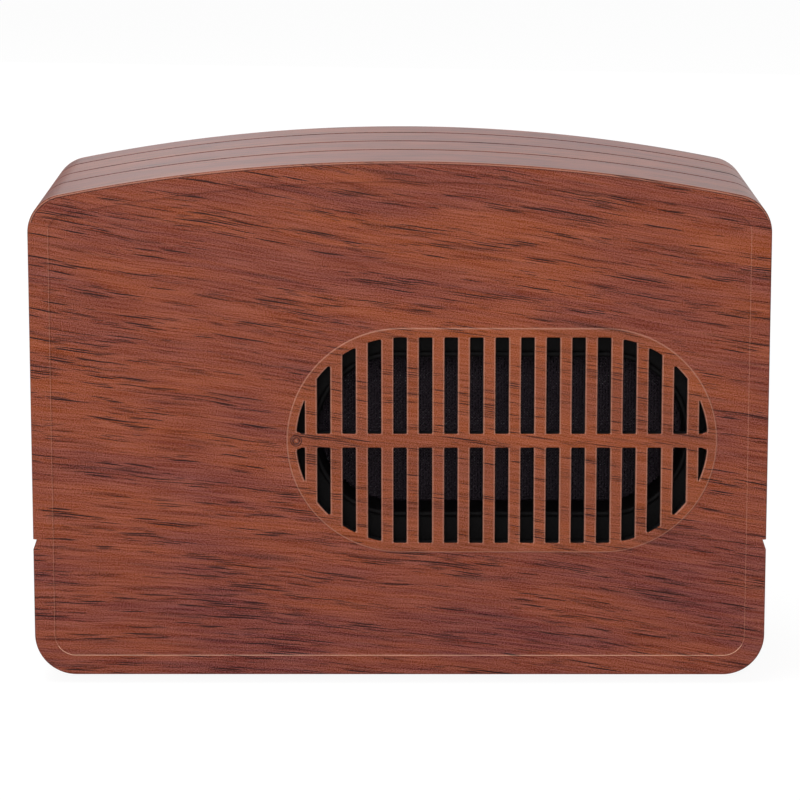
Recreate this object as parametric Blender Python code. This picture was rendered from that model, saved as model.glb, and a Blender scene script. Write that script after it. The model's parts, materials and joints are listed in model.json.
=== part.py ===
# Ceramic space heater, modelled piece by piece for Blender 4.5. Metres, +Z up.
#
# Everything is laid out in the case frame: x runs across the front (to the right when facing it),
# y runs back from the plane of the front face, and z runs up from the underside of the case.
# The empty "case_datum" carries that frame to the origin, which is the middle of the plane that
# the feet stand on. Facing the front is looking along +Y.

import math
from collections import namedtuple

import bmesh
import bpy
from mathutils import Matrix

MM = 0.001
GAP = 0.3 * MM  # left between pieces that touch, seat or pass through one another
OVERRUN = 1 * MM  # how far a cutter, or a shape that is joined on, runs past the surface it meets

# The case
CASE_WIDTH = 250 * MM
CASE_HEIGHT = 177.3 * MM  # at the middle of the crown
CASE_DEPTH = 102 * MM
CROWN_RADIUS = 583 * MM
TOP_CORNER = 13.2 * MM
BOTTOM_CORNER = 14.1 * MM
ARRIS = 0.9 * MM  # rounded edge round both faces
WALL = 2.4 * MM
FRONT_PLATE = 2.6 * MM
REAR_PLATE = 2.4 * MM
FRONT_PARTING = 32.4 * MM
CENTRE_GROOVE = 57.2 * MM
REAR_PARTING = 82.4 * MM
GROOVE_WIDTH = 1.8 * MM
GROOVE_DEPTH = 0.6 * MM
GROOVE_FLANK = 0.3 * MM
TONGUE_LENGTH = 3 * MM
TONGUE_WALL = 1.3 * MM
TONGUE_ROOT = 5 * MM
NOTCH_TOP = 47.6 * MM  # finger ledge along both sides
NOTCH_HEIGHT = 3.6 * MM
NOTCH_DEPTH = 1.2 * MM
NOTCH_STEP = 0.2 * MM  # height over which the ledge's upper edge steps back out
REAR_FACE_RING = 3 * MM  # inner edge of the level border round the rear face
FIELD_INSET = 7 * MM  # the sunk field of the front face
FIELD_SINK = 0.4 * MM

# Feet
FOOT_HEIGHT = 3 * MM
FOOT_RADIUS = 7 * MM
FOOT_STEM = 2.7 * MM
FOOT_CHAMFER = 1 * MM
FOOT_STEM_END = 1 * MM  # how far the stem stands inside the floor
FOOT_INSET_X = 30 * MM
FOOT_INSET_FRONT = 21 * MM
FOOT_INSET_REAR = 11.5 * MM

# Outlet grille, moulded in the front shell
GRILLE_LENGTH = 139.5 * MM
GRILLE_HEIGHT = 71.1 * MM
GRILLE_RIGHT_MARGIN = 20.6 * MM  # from the end of the slots to the side of the case
GRILLE_Z = 81.9 * MM
GRILLE_PLATE = 5.4 * MM
GRILLE_RIM = 3.1 * MM  # raised border outside the slots
RIM_ROUND = 0.35 * MM
SLOT_PITCH = 8.63 * MM
SLOT_WIDTH = 4.43 * MM
SLOT_LEAST = 0.8 * MM  # the narrowest sliver that is still opened at an end
SLOT_STUB = 1.5 * MM  # a slot's outer side is at least this long before the end rounds it off
CROSS_BAR = 4.8 * MM
END_BOSS = 3.2 * MM  # rounding where the cross bar meets the ends of the grille
RING_RADIUS = 2.1 * MM  # ring groove at the left end of the cross bar
RING_WIDTH = 0.6 * MM
RING_DEPTH = 0.3 * MM

# Air path: outlet duct, guard, heater frame and the element in it
DUCT_MARGIN_X = 6.95 * MM  # how far the duct's mouth lies inside the slots, at each end
DUCT_MARGIN_Z = 8.7 * MM
ELEMENT_MARGIN = 1.5 * MM  # how far the element lies inside the duct's mouth, at each end
DUCT_WALL = 1.8 * MM
DUCT_LIP_Y = 11 * MM
DUCT_LIP_FLARE = 2.2 * MM
DUCT_REAR_Y = 28.3 * MM
FLANGE_THICKNESS = 2 * MM
FRAME_BORDER_X = 8.7 * MM
FRAME_BORDER_Z = 9.2 * MM
FRAME_DEPTH = 18.9 * MM
FRAME_CORNER = 5 * MM
GUARD_THICKNESS = 1 * MM
GUARD_PITCH = 5.6 * MM
GUARD_BAR = 1 * MM
GUARD_BORDER = 2.4 * MM
ELEMENT_SETBACK = 1.8 * MM  # from the guard's rebate to the bars
BAR_COUNT = 3
BAR_HEIGHT = 4.2 * MM
BAR_DEPTH = 14 * MM
BAR_SEAT = 3 * MM  # how far a bar's end sits in its pocket
BAR_ROUND = 1 * MM
FIN_HEIGHT = 9.4 * MM
FIN_PITCH = 7.2 * MM
FIN_SHEET = 0.35 * MM
FIN_END = 0.5 * MM  # left free at each end of a row
FIN_SETBACK = 0.4 * MM  # of a fin's edges from the bar's
TAB_LENGTH = 16 * MM
TAB_WIDTH = 6.3 * MM
TAB_THICKNESS = 0.8 * MM
TAB_POINT = 1.2 * MM
CUTOUT_RADIUS = 8 * MM
CUTOUT_HEIGHT = 7 * MM
CUTOUT_STRAP = 28 * MM
CUTOUT_STRAP_WIDTH = 10 * MM
CUTOUT_BLADE = 7 * MM
CUTOUT_BLADE_X = 3.4 * MM
CUTOUT_BLADE_ROOT = 2 * MM
CUTOUT_SHEET = 1.2 * MM
CUTOUT_BASE = 0.8 * MM
CUTOUT_CHAMFER = 1 * MM

# Cross-flow blower
IMPELLER_RADIUS = 20.5 * MM
IMPELLER_LENGTH = 114 * MM
BLADE_COUNT = 16
BLADE_CHORD = 5.6 * MM
BLADE_THICKNESS = 0.8 * MM
BLADE_BOW = 1.3 * MM
BLADE_INSET = 0.4 * MM  # of the blades' tips from the discs' rims
DISC_THICKNESS = 1.6 * MM
MIDDLE_DISC_WIDTH = 8.6 * MM
HUB_RADIUS = 5 * MM
HUB_LENGTH = 12 * MM
STUB_RADIUS = 2.2 * MM
STUB_LENGTH = 9.4 * MM
BLOWER_FRONT_GAP = 2 * MM  # least gap from the flange's sheet to a blade tip
BLOWER_RISE = 14 * MM  # fan axis above the middle of the grille
SHEET = 1 * MM
SIDE_GAP = 3 * MM
SCROLL_START_GAP = 1.6 * MM
SCROLL_END_GAP = 11 * MM
SCROLL_START = math.radians(20)
SCROLL_END = math.radians(-95)
TONGUE_GAP = 1.8 * MM
TONGUE_START = math.radians(122)
TONGUE_END = math.radians(150)
PLATE_MARGIN = 4 * MM  # sheet left round the air-path screws
PLATE_TAB_RELIEF = 0.2 * MM  # of a turned-out tab from the plate's corners
PLATE_TAB_SETBACK = 0.02 * MM  # of a tab's face from the plate's front edge
LEDGE = 5 * MM  # turned-out edges of the scroll and the tongue
BEARING_SEAT = 6.3 * MM
END_BUSH_FLANGE = 8.5 * MM
END_BUSH_LENGTH = 6.1 * MM
END_BUSH_INSIDE = 0.8 * MM  # how far it stands inside the end plate
END_BUSH_RIM = 1.6 * MM
END_BUSH_EASE = 0.1 * MM  # added to the gap round the stub

# Shaded-pole motor
STACK_THICKNESS = 17 * MM
STACK_WIDTH = 40 * MM
STACK_TOP = 20 * MM  # above the shaft
STACK_BOTTOM = 42 * MM  # below the shaft
STACK_CORNER = 3 * MM
STACK_CLEARANCE = 0.4 * MM  # from an air-path screw's head to the stack
YOKE_HEIGHT = 8 * MM
WINDOW_WIDTH = 28 * MM
WINDOW_HEIGHT = 14 * MM
ROTOR_RADIUS = 12 * MM
AIR_GAP = 0.5 * MM
COIL_BUILD = 4.6 * MM
COIL_LENGTH = 24 * MM
COIL_CORNER = 0.3 * MM  # of the bore's corner, inside all the turns
COIL_SLACK = 0.8 * MM  # of the outermost turns below the cheeks' rims
BRACKET_WIDTH = 14 * MM
BRACKET_SHEET = 1.6 * MM
BRACKET_FOOT = 8 * MM
BRACKET_DOME = 20 * MM
BRACKET_RISE_LEFT = 4.6 * MM
BRACKET_RISE_RIGHT = 2.4 * MM
MOTOR_STANDOFF = 6.3 * MM
SHAFT_RADIUS = 2 * MM
SHAFT_OVERHANG = 2.6 * MM  # beyond the left bracket
SHAFT_CHAMFER = 0.4 * MM
SHAFT_SHORT = 0.5 * MM  # of the end of the impeller's hub
BEARING_RADIUS = 3.7 * MM
BEARING_FLANGE = 4.9 * MM
BEARING_FLANGE_THICKNESS = 1.2 * MM
BEARING_STAND = 0.6 * MM  # how far a bearing stands out of its bracket
BOLT_RADIUS = 1.5 * MM
BOLT_SPACING = 35 * MM
BOLT_HEAD_RADIUS = 2.9 * MM
BOLT_END = 0.4 * MM  # of a bolt's tip from the plate's outer face
STANDOFF_WALL = 1.8 * MM
COIL_CHEEK = 1.2 * MM
COIL_CORE_WALL = 1 * MM

# Screws
SCREW_RADIUS = 1.5 * MM
SCREW_HEAD_RADIUS = 2.8 * MM
SCREW_HEAD = 1.8 * MM
SCREW_CLEARANCE = 0.3 * MM
BOSS_RADIUS = 4 * MM
TUBE_RADIUS = 4.6 * MM
BOSS_REACH = 1.6 * MM  # of the case screws' bosses behind the front parting
BOSS_GROUND = 3 * MM  # solid foot of a boss, ahead of its bore
BORE_PAST = 5 * MM  # behind the front parting
TUBE_START = 2 * MM  # behind the front parting
CASE_SCREW_INSET = 11.5 * MM
CASE_SCREW_LOW = 13 * MM
CASE_SCREW_BELOW_CROWN = 17.2 * MM
CASE_SCREW_SEAT = 60 * MM
CASE_SCREW_TIP = 14 * MM
AIR_SCREW_TIP = 12 * MM
AIR_SCREW_INSET_X = 4.8 * MM  # from the heater frame's edge
AIR_SCREW_INSET_Z = 4.5 * MM

# Air intake in the rear
INTAKE_LENGTH = 142 * MM
INTAKE_HEIGHT = 80 * MM
INTAKE_CORNER = 21 * MM
INTAKE_Z = 117 * MM
INTAKE_BORDER = 4 * MM
LOUVRE_PITCH = 7.8 * MM
LOUVRE_GAP = 4.4 * MM
LOUVRE_POST = 4 * MM
LOUVRE_BAYS = 3
INTAKE_SINK = 0.4 * MM
FLANGE_OVERLAP = 3.2 * MM
INSERT_FLANGE = 1.4 * MM

# Control panel, a tray let into the rear
PANEL_WIDTH = 52 * MM
PANEL_HEIGHT = 116 * MM
PANEL_CORNER = 10 * MM
PANEL_SIDE_MARGIN = 13 * MM
PANEL_BOTTOM = 24 * MM
PANEL_DEPTH = 10 * MM
PANEL_WALL = 2 * MM
PANEL_CHAMFER = 1.2 * MM
KNOB_RADIUS = 16.5 * MM
KNOB_HEIGHT = 8.9 * MM
KNOB_GRIP = 7 * MM
KNOB_GRIP_INSET = 2.5 * MM  # of the grip's ends from the knob's rim
KNOB_GRIP_TAPER = 0.5 * MM
KNOB_GRIP_CHAMFER = (1 * MM, 0.9 * MM)  # height and width
KNOB_RIM_HEIGHT = 1.4 * MM
KNOB_SKIRT_TAPER = 0.8 * MM
KNOB_CHAMFER = 0.8 * MM
THERMOSTAT_UP = 84 * MM  # above the bottom of the panel
SELECTOR_UP = 46 * MM
GLAND_UP = 14 * MM
LAMP_UP = 108 * MM
SPINDLE_RADIUS = 3 * MM
SPINDLE_EASE = 0.4 * MM  # round the spindle in its bush
BUSH_RADIUS = 4.9 * MM
CONTROL_RADIUS = 14 * MM
CONTROL_BODY = 13 * MM
CONTROL_BORE = 10 * MM  # how far the spindle runs into the body
CONTROL_TERMINAL = 7 * MM
CONTROL_TERMINAL_ROOT = 2 * MM
CONTROL_CHAMFER = 1 * MM
KNOB_LIFT = 0.8 * MM  # clear of the panel
KNOB_FACE_DROP = 4 * MM  # face of the knob below the top of its grip
KNOB_BORE = 7 * MM
GLAND_RADIUS = 6.2 * MM
GLAND_BORE = 3.3 * MM
GLAND_FLANGE = 8.4 * MM
GLAND_RIM = 1.8 * MM  # top of the flange's edge above the panel
GLAND_TOP = 3.4 * MM
GLAND_TAIL = 6 * MM  # behind the panel
GLAND_TAPER = 0.6 * MM
GLAND_BARB = 0.8 * MM
GLAND_BARB_LENGTH = 1 * MM
LENS_RADIUS = 3.4 * MM
LENS_BODY = 7 * MM
LENS_DOME = 3.5 * MM
LENS_FLANGE = 1 * MM  # wider than the body
LENS_EDGE = 1.2 * MM  # top of the flange's edge above the panel
LENS_SHOULDER = 0.9 * MM
LENS_CROWN = 0.2 * MM

# Tip-over switch
TIP_Y = 55 * MM
TIP_WIDTH = 18 * MM
TIP_DEPTH = 14 * MM
TIP_HEIGHT = 19 * MM
TIP_CORNER = 1.5 * MM
TIP_HEADROOM = 1.2 * MM
PLUNGER_RADIUS = 3.5 * MM
PLUNGER_COLLAR = 4.8 * MM
PLUNGER_TRAVEL = 3.5 * MM
PLUNGER_TOP = 13 * MM
PLUNGER_CHAMFER = 1 * MM
PLUNGER_COLLAR_HEIGHT = 1.6 * MM
PLUNGER_SPARE = 0.4 * MM  # left under the collar at the end of its travel

# Worked out from the above
GRILLE_X = CASE_WIDTH / 2 - GRILLE_RIGHT_MARGIN - GRILLE_LENGTH / 2
MOUTH_LENGTH = GRILLE_LENGTH - 2 * DUCT_MARGIN_X
MOUTH_HEIGHT = GRILLE_HEIGHT - 2 * DUCT_MARGIN_Z
ELEMENT_LENGTH = MOUTH_LENGTH - 2 * ELEMENT_MARGIN
STACK_PITCH = BAR_HEIGHT + FIN_HEIGHT + 2 * GAP
ELEMENT_HEIGHT = BAR_COUNT * STACK_PITCH + FIN_HEIGHT
FRAME_FRONT_Y = DUCT_REAR_Y + GAP
FRAME_REAR_Y = FRAME_FRONT_Y + FRAME_DEPTH
FRAME_LENGTH = ELEMENT_LENGTH + 2 * FRAME_BORDER_X
FRAME_HEIGHT = ELEMENT_HEIGHT + 2 * GAP + 2 * FRAME_BORDER_Z
REBATE_Y = FRAME_FRONT_Y + GUARD_THICKNESS + 2 * GAP
ELEMENT_Y = REBATE_Y + ELEMENT_SETBACK + BAR_DEPTH / 2
AIR_SCREW_X = FRAME_LENGTH / 2 - AIR_SCREW_INSET_X
AIR_SCREW_Z = FRAME_HEIGHT / 2 - AIR_SCREW_INSET_Z
PLATE_FLANGE_Y = FRAME_REAR_Y + GAP
# The fan axis lies behind the flange by what the impeller needs or, if that is more, by what the motor does.
IMPELLER_REACH = BLOWER_FRONT_GAP + IMPELLER_RADIUS
STACK_REACH = GAP + SCREW_HEAD + STACK_CLEARANCE + STACK_WIDTH / 2
FAN_Y = PLATE_FLANGE_Y + SHEET + max(IMPELLER_REACH, STACK_REACH)
FAN_Z = GRILLE_Z + BLOWER_RISE
PLATE_LEFT_X = GRILLE_X - IMPELLER_LENGTH / 2 - SIDE_GAP - SHEET  # outer face
PLATE_RIGHT_X = GRILLE_X + IMPELLER_LENGTH / 2 + SIDE_GAP + SHEET
STACK_RIGHT_X = PLATE_LEFT_X - MOTOR_STANDOFF
STACK_LEFT_X = STACK_RIGHT_X - STACK_THICKNESS
PANEL_X = -CASE_WIDTH / 2 + PANEL_SIDE_MARGIN + PANEL_WIDTH / 2
PANEL_Z = PANEL_BOTTOM + PANEL_HEIGHT / 2
PANEL_FLOOR_Y = CASE_DEPTH - PANEL_DEPTH

Edge = namedtuple("Edge", "x z nx nz grooved notch")


def paint(name, red, green, blue, roughness, metallic=0.0):
    """A Principled material of one plain colour."""
    made = bpy.data.materials.new(name)
    made.use_nodes = True
    shader = made.node_tree.nodes["Principled BSDF"]
    shader.inputs["Base Color"].default_value = (red, green, blue, 1)
    shader.inputs["Roughness"].default_value = roughness
    shader.inputs["Metallic"].default_value = metallic
    made.diffuse_color = (red, green, blue, 1)
    return made


def add(name, shape, finish, at=(0, 0, 0), turn=(0, 0, 0), parent=None):
    """Makes an object of a bmesh in the case frame, or in its parent's, and closes the bmesh."""
    bmesh.ops.recalc_face_normals(shape, faces=shape.faces)
    mesh = bpy.data.meshes.new(name)
    shape.to_mesh(mesh)
    shape.free()
    if finish:
        mesh.materials.append(finish)
    mesh.shade_smooth()
    mesh.set_sharp_from_angle(angle=math.radians(32))
    thing = bpy.data.objects.new(name, mesh)
    bpy.context.scene.collection.objects.link(thing)
    thing.location = at
    thing.rotation_euler = turn
    thing.parent = parent or bpy.data.objects["case_datum"]
    return thing


def again(thing, name, at):
    """A further copy of a piece, sharing its mesh."""
    copy = bpy.data.objects.new(name, thing.data)
    bpy.context.scene.collection.objects.link(copy)
    copy.location = at
    copy.rotation_euler = thing.rotation_euler
    copy.parent = thing.parent
    return copy


def combine(thing, shape, operation, at=(0, 0, 0), turn=(0, 0, 0)):
    """Cuts a shape out of a piece, or joins it on, with a Boolean that stays live."""
    helper = add(f"{thing.name}_{operation.lower()}", shape, None, at, turn, thing.parent)
    helper.hide_render = True
    helper.display_type = "WIRE"
    boolean = thing.modifiers.new(operation.title(), "BOOLEAN")
    boolean.operation = operation
    boolean.object = helper
    boolean.solver = "EXACT"


def arc(cx, cy, radius, start, end, steps):
    """Points along an arc, both ends included."""
    turns = [start + (end - start) * i / steps for i in range(steps + 1)]
    return [(cx + radius * math.cos(a), cy + radius * math.sin(a)) for a in turns]


def circle(cx, cy, radius, steps):
    return arc(cx, cy, radius, 0, 2 * math.pi * (steps - 1) / steps, steps - 1)


def box_outline(cx, cy, width, height):
    w, h = width / 2, height / 2
    return [(cx - w, cy - h), (cx + w, cy - h), (cx + w, cy + h), (cx - w, cy + h)]


def loft(rings, shape=None, ends=True):
    """Joins rings of equally many points; ends=False joins the last ring back to the first."""
    shape = shape or bmesh.new()
    made = [[shape.verts.new(point) for point in ring] for ring in rings]
    pairs = list(zip(made, made[1:])) + ([] if ends else [(made[-1], made[0])])
    for near, far in pairs:
        for i in range(len(near)):
            j = (i + 1) % len(near)
            shape.faces.new((near[i], near[j], far[j], far[i]))
    if ends:
        shape.faces.new(made[0])
        shape.faces.new(made[-1])
    return shape


def prism(points, low, high, axis="y", shape=None):
    """Extrudes an outline along one axis. Its points are (x, z) along y, (y, z) along x, (x, y) along z."""
    place = {
        "x": lambda u, v, t: (t, u, v),
        "y": lambda u, v, t: (u, t, v),
        "z": lambda u, v, t: (u, v, t),
    }[axis]
    return loft([[place(u, v, t) for u, v in points] for t in (low, high)], shape)


def turned(profile, steps=24, closed=False, shape=None):
    """Turns a profile of (radius, height) about local Z. Closed is a ring, such as a bush."""
    shape = shape or bmesh.new()
    rings = []
    for radius, height in profile:
        if radius == 0:
            rings.append([shape.verts.new((0, 0, height))])
            continue
        angles = [2 * math.pi * i / steps for i in range(steps)]
        rings.append([shape.verts.new((radius * math.cos(a), radius * math.sin(a), height)) for a in angles])
    pairs = list(zip(rings, rings[1:])) + ([(rings[-1], rings[0])] if closed else [])
    for near, far in pairs:
        for i in range(steps):
            j = (i + 1) % steps
            if len(near) == 1:
                shape.faces.new((near[0], far[j], far[i]))
            elif len(far) == 1:
                shape.faces.new((near[i], near[j], far[0]))
            else:
                shape.faces.new((near[i], near[j], far[j], far[i]))
    if not closed:
        for ring in (rings[0], rings[-1]):
            if len(ring) > 1:
                shape.faces.new(ring)
    return shape


def ribbon(path, thickness):
    """The closed outline of sheet metal bent along a path, with mitred bends, on the path's left."""
    normals = []
    for (ax, ay), (bx, by) in zip(path, path[1:]):
        length = math.hypot(bx - ax, by - ay)
        normals.append((-(by - ay) / length, (bx - ax) / length))
    far = []
    for i, (px, py) in enumerate(path):
        before = normals[max(i - 1, 0)]
        after = normals[min(i, len(normals) - 1)]
        share = thickness / (1 + before[0] * after[0] + before[1] * after[1])
        far.append((px + (before[0] + after[0]) * share, py + (before[1] + after[1]) * share))
    return path + far[::-1]


def rounded(length, height, radius, cx=0.0, cz=0.0, steps=6):
    """A rounded rectangle as edge points with outward normals; radius = height / 2 is a stadium."""
    edges = []
    corners = ((1, -1, -90), (1, 1, 0), (-1, 1, 90), (-1, -1, 180))
    for sx, sz, start in corners:
        x = cx + sx * (length / 2 - radius)
        z = cz + sz * (height / 2 - radius)
        for i in range(steps + 1):
            if i == steps and height <= 2 * radius and start in (-90, 90):
                continue  # a stadium's two corners at one end share this point
            a = math.radians(start + 90 * i / steps)
            nx, nz = math.cos(a), math.sin(a)
            edges.append(Edge(x + radius * nx, z + radius * nz, nx, nz, 0, 0))
    return edges


def points_of(edges, inset=0.0):
    return [(e.x - e.nx * inset, e.z - e.nz * inset) for e in edges]


def swept(edges, section, ends=True):
    """Carries a section of (y, inset, groove, notch) stations round an outline of edge points."""
    rings = []
    for y, inset, groove, notch in section:
        rings.append([])
        for e in edges:
            back = inset + groove * e.grooved + notch * e.notch
            rings[-1].append((e.x - e.nx * back, y, e.z - e.nz * back))
    return loft(rings, ends=ends)


def crown_height(x):
    """Height of the crown's arc above the underside."""
    return CASE_HEIGHT - CROWN_RADIUS + math.sqrt(CROWN_RADIUS**2 - x**2)


def case_outline(crown_steps=8, corner_steps=4):
    """The case seen from the front: flat underside, upright sides with a ledge, a shallow crown."""
    half = CASE_WIDTH / 2
    centre_z = CASE_HEIGHT - CROWN_RADIUS
    corner_x = half - TOP_CORNER
    corner_z = centre_z + math.sqrt((CROWN_RADIUS - TOP_CORNER) ** 2 - corner_x**2)
    lean = math.atan2(corner_z - centre_z, corner_x)
    right = []
    for i in range(corner_steps + 1):
        a = math.radians(-90 + 90 * i / corner_steps)
        x = half - BOTTOM_CORNER + BOTTOM_CORNER * math.cos(a)
        z = BOTTOM_CORNER + BOTTOM_CORNER * math.sin(a)
        right.append(Edge(x, z, math.cos(a), math.sin(a), 0, 0))
    right.append(Edge(half, NOTCH_TOP - NOTCH_HEIGHT, 1, 0, 0, 0))
    right.append(Edge(half, NOTCH_TOP - NOTCH_STEP / 2, 1, 0, 0, 1))
    right.append(Edge(half, NOTCH_TOP + NOTCH_STEP / 2, 1, 0, 1, 0))
    for i in range(corner_steps + 1):
        a = lean * i / corner_steps
        x = corner_x + TOP_CORNER * math.cos(a)
        z = corner_z + TOP_CORNER * math.sin(a)
        right.append(Edge(x, z, math.cos(a), math.sin(a), 1, 0))
    crown = []
    for i in range(1, crown_steps):
        a = lean + (math.pi - 2 * lean) * i / crown_steps
        x = CROWN_RADIUS * math.cos(a)
        z = centre_z + CROWN_RADIUS * math.sin(a)
        crown.append(Edge(x, z, math.cos(a), math.sin(a), 1, 0))
    left = [Edge(-e.x, e.z, -e.nx, e.nz, e.grooved, e.notch) for e in reversed(right)]
    return right + crown + left


def arris_section(face_y, into):
    """Stations of the rounded edge, from the face to the side; into is +1 for the front, -1 for the rear."""
    stations = []
    for i in range(4):
        a = math.radians(90 * i / 3)
        y = face_y + into * ARRIS * (1 - math.cos(a))
        stations.append((y, ARRIS * (1 - math.sin(a)), 0, NOTCH_DEPTH))
    return stations


def louvre_slots(length, height, corner):
    """Level slots that fill a rounded rectangle, in bays between upright posts, shorter in its corners."""
    count = int((height / 2 - LOUVRE_GAP / 2) / LOUVRE_PITCH)
    bay = (length - (LOUVRE_BAYS - 1) * LOUVRE_POST) / LOUVRE_BAYS
    outlines = []
    for row in range(-count, count + 1):
        low, high = row * LOUVRE_PITCH - LOUVRE_GAP / 2, row * LOUVRE_PITCH + LOUVRE_GAP / 2
        over = max(max(abs(low), abs(high)) - (height / 2 - corner), 0)
        reach = length / 2 - corner + math.sqrt(corner**2 - over**2)
        for i in range(LOUVRE_BAYS):
            start = -length / 2 + i * (bay + LOUVRE_POST)
            left, right = max(start, -reach), min(start + bay, reach)
            outlines.append([(left, low), (right, low), (right, high), (left, high)])
    return outlines


def grille_slots():
    """Slots of the outlet grille, about its middle. The end ones are slivers, cut round at the cross bar."""
    half_length = GRILLE_LENGTH / 2
    radius = GRILLE_HEIGHT / 2
    straight = half_length - radius
    bar = CROSS_BAR / 2

    def reach(x):
        over = max(abs(x) - straight, 0)
        return math.sqrt(max(radius**2 - over**2, 0))

    outlines = []
    side_columns = int((half_length + SLOT_WIDTH / 2 - SLOT_LEAST) / SLOT_PITCH)
    for column in range(-side_columns, side_columns + 1):
        near = abs(column) * SLOT_PITCH - SLOT_WIDTH / 2
        far = near + SLOT_WIDTH
        side = 1 if column >= 0 else -1
        for up in (1, -1):
            if reach(far) > bar + SLOT_STUB and far < half_length:
                outline = [(near, bar), (far, bar), (far, reach(far)), (near, reach(near))]
            else:
                boss_turn = math.asin(bar / END_BOSS)
                boss = arc(half_length, 0, END_BOSS, math.pi - boss_turn, math.pi / 2 + 0.12, 2)
                top = math.atan2(reach(near), near - straight)
                bottom = math.atan2(boss[-1][1], boss[-1][0] - straight)
                rim = arc(straight, 0, radius, bottom + 0.03, top, 3)
                outline = [(near, bar)] + boss + rim
            outlines.append([(side * x, up * z) for x, z in outline])
    return outlines


def screw(length, radius=SCREW_RADIUS, head_radius=SCREW_HEAD_RADIUS, head=SCREW_HEAD, steps=7):
    """A pan-head screw along local Z, its seat at 0 and its tip at -length."""
    crown = head_radius * 0.7
    profile = [(0, head), (crown, head), (head_radius, head * 0.45), (head_radius, 0), (radius, 0)]
    return turned(profile + [(radius, radius - length), (radius * 0.3, -length), (0, -length)], steps)


BACKWARD = (math.radians(-90), 0, 0)  # local Z to +Y
SIDEWAYS = (0, math.radians(90), 0)  # local Z to +X


def case_screw_places():
    x = CASE_WIDTH / 2 - CASE_SCREW_INSET
    top = crown_height(x) - CASE_SCREW_BELOW_CROWN
    return [(-x, CASE_SCREW_LOW), (x, CASE_SCREW_LOW), (-x, top), (x, top)]


def air_screw_places():
    return [(GRILLE_X + sx * AIR_SCREW_X, GRILLE_Z + sz * AIR_SCREW_Z) for sz in (-1, 1) for sx in (-1, 1)]


def build_front_shell(film):
    """Front of the case: a deep cup with a sunk field and the slotted outlet in one moulding."""
    seam = FRONT_PARTING - GAP / 2
    flat = seam - (GROOVE_WIDTH - GAP) / 2 + GROOVE_FLANK
    section = [(FIELD_SINK, FIELD_INSET + FIELD_SINK, 0, 0), (0, FIELD_INSET, 0, 0)]
    section += arris_section(0, 1)
    section += [
        (flat - GROOVE_FLANK, 0, 0, NOTCH_DEPTH),
        (flat, 0, GROOVE_DEPTH, NOTCH_DEPTH),
        (seam, 0, GROOVE_DEPTH, NOTCH_DEPTH),
        (seam, WALL, 0, 0),
        (FRONT_PLATE, WALL, 0, 0),
    ]
    shell = add("front_shell", swept(case_outline(), section), film)

    rim_height = GRILLE_HEIGHT + 2 * GRILLE_RIM
    rim = rounded(GRILLE_LENGTH + 2 * GRILLE_RIM, rim_height, rim_height / 2, GRILLE_X, GRILLE_Z, 5)
    pad = [(0, RIM_ROUND, 0, 0), (RIM_ROUND, 0, 0, 0), (GRILLE_PLATE, 0, 0, 0)]
    combine(shell, swept(rim, pad), "UNION")
    bosses = bmesh.new()
    foot = FRONT_PLATE - OVERRUN
    for x, z in air_screw_places():
        boss_end = DUCT_REAR_Y - FLANGE_THICKNESS - GAP
        prism(circle(x, z, BOSS_RADIUS, 6), foot, boss_end, "y", bosses)
    for x, z in case_screw_places():
        boss_end = FRONT_PARTING + BOSS_REACH
        prism(circle(x, z, BOSS_RADIUS, 6), foot, boss_end, "y", bosses)
    combine(shell, bosses, "UNION")

    cuts = bmesh.new()
    for outline in grille_slots():
        shifted = [(GRILLE_X + x, GRILLE_Z + z) for x, z in outline]
        prism(shifted, -OVERRUN, GRILLE_PLATE + OVERRUN, "y", cuts)
    bore = SCREW_RADIUS + SCREW_CLEARANCE
    for x, z in air_screw_places() + case_screw_places():
        prism(circle(x, z, bore, 6), FRONT_PLATE + BOSS_GROUND, FRONT_PARTING + BORE_PAST, "y", cuts)
    for side in (-1, 1):
        x = side * (CASE_WIDTH / 2 - FOOT_INSET_X)
        hole = circle(x, FOOT_INSET_FRONT, FOOT_STEM + GAP, 8)
        prism(hole, -OVERRUN, WALL + OVERRUN, "z", cuts)
    combine(shell, cuts, "DIFFERENCE")
    inner, outer = RING_RADIUS - RING_WIDTH / 2, RING_RADIUS + RING_WIDTH / 2
    profile = [(inner, -OVERRUN), (outer, -OVERRUN), (outer, RING_DEPTH), (inner, RING_DEPTH)]
    at = (GRILLE_X - GRILLE_LENGTH / 2, 0, GRILLE_Z)
    combine(shell, turned(profile, 12, closed=True), "DIFFERENCE", at, BACKWARD)


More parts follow.
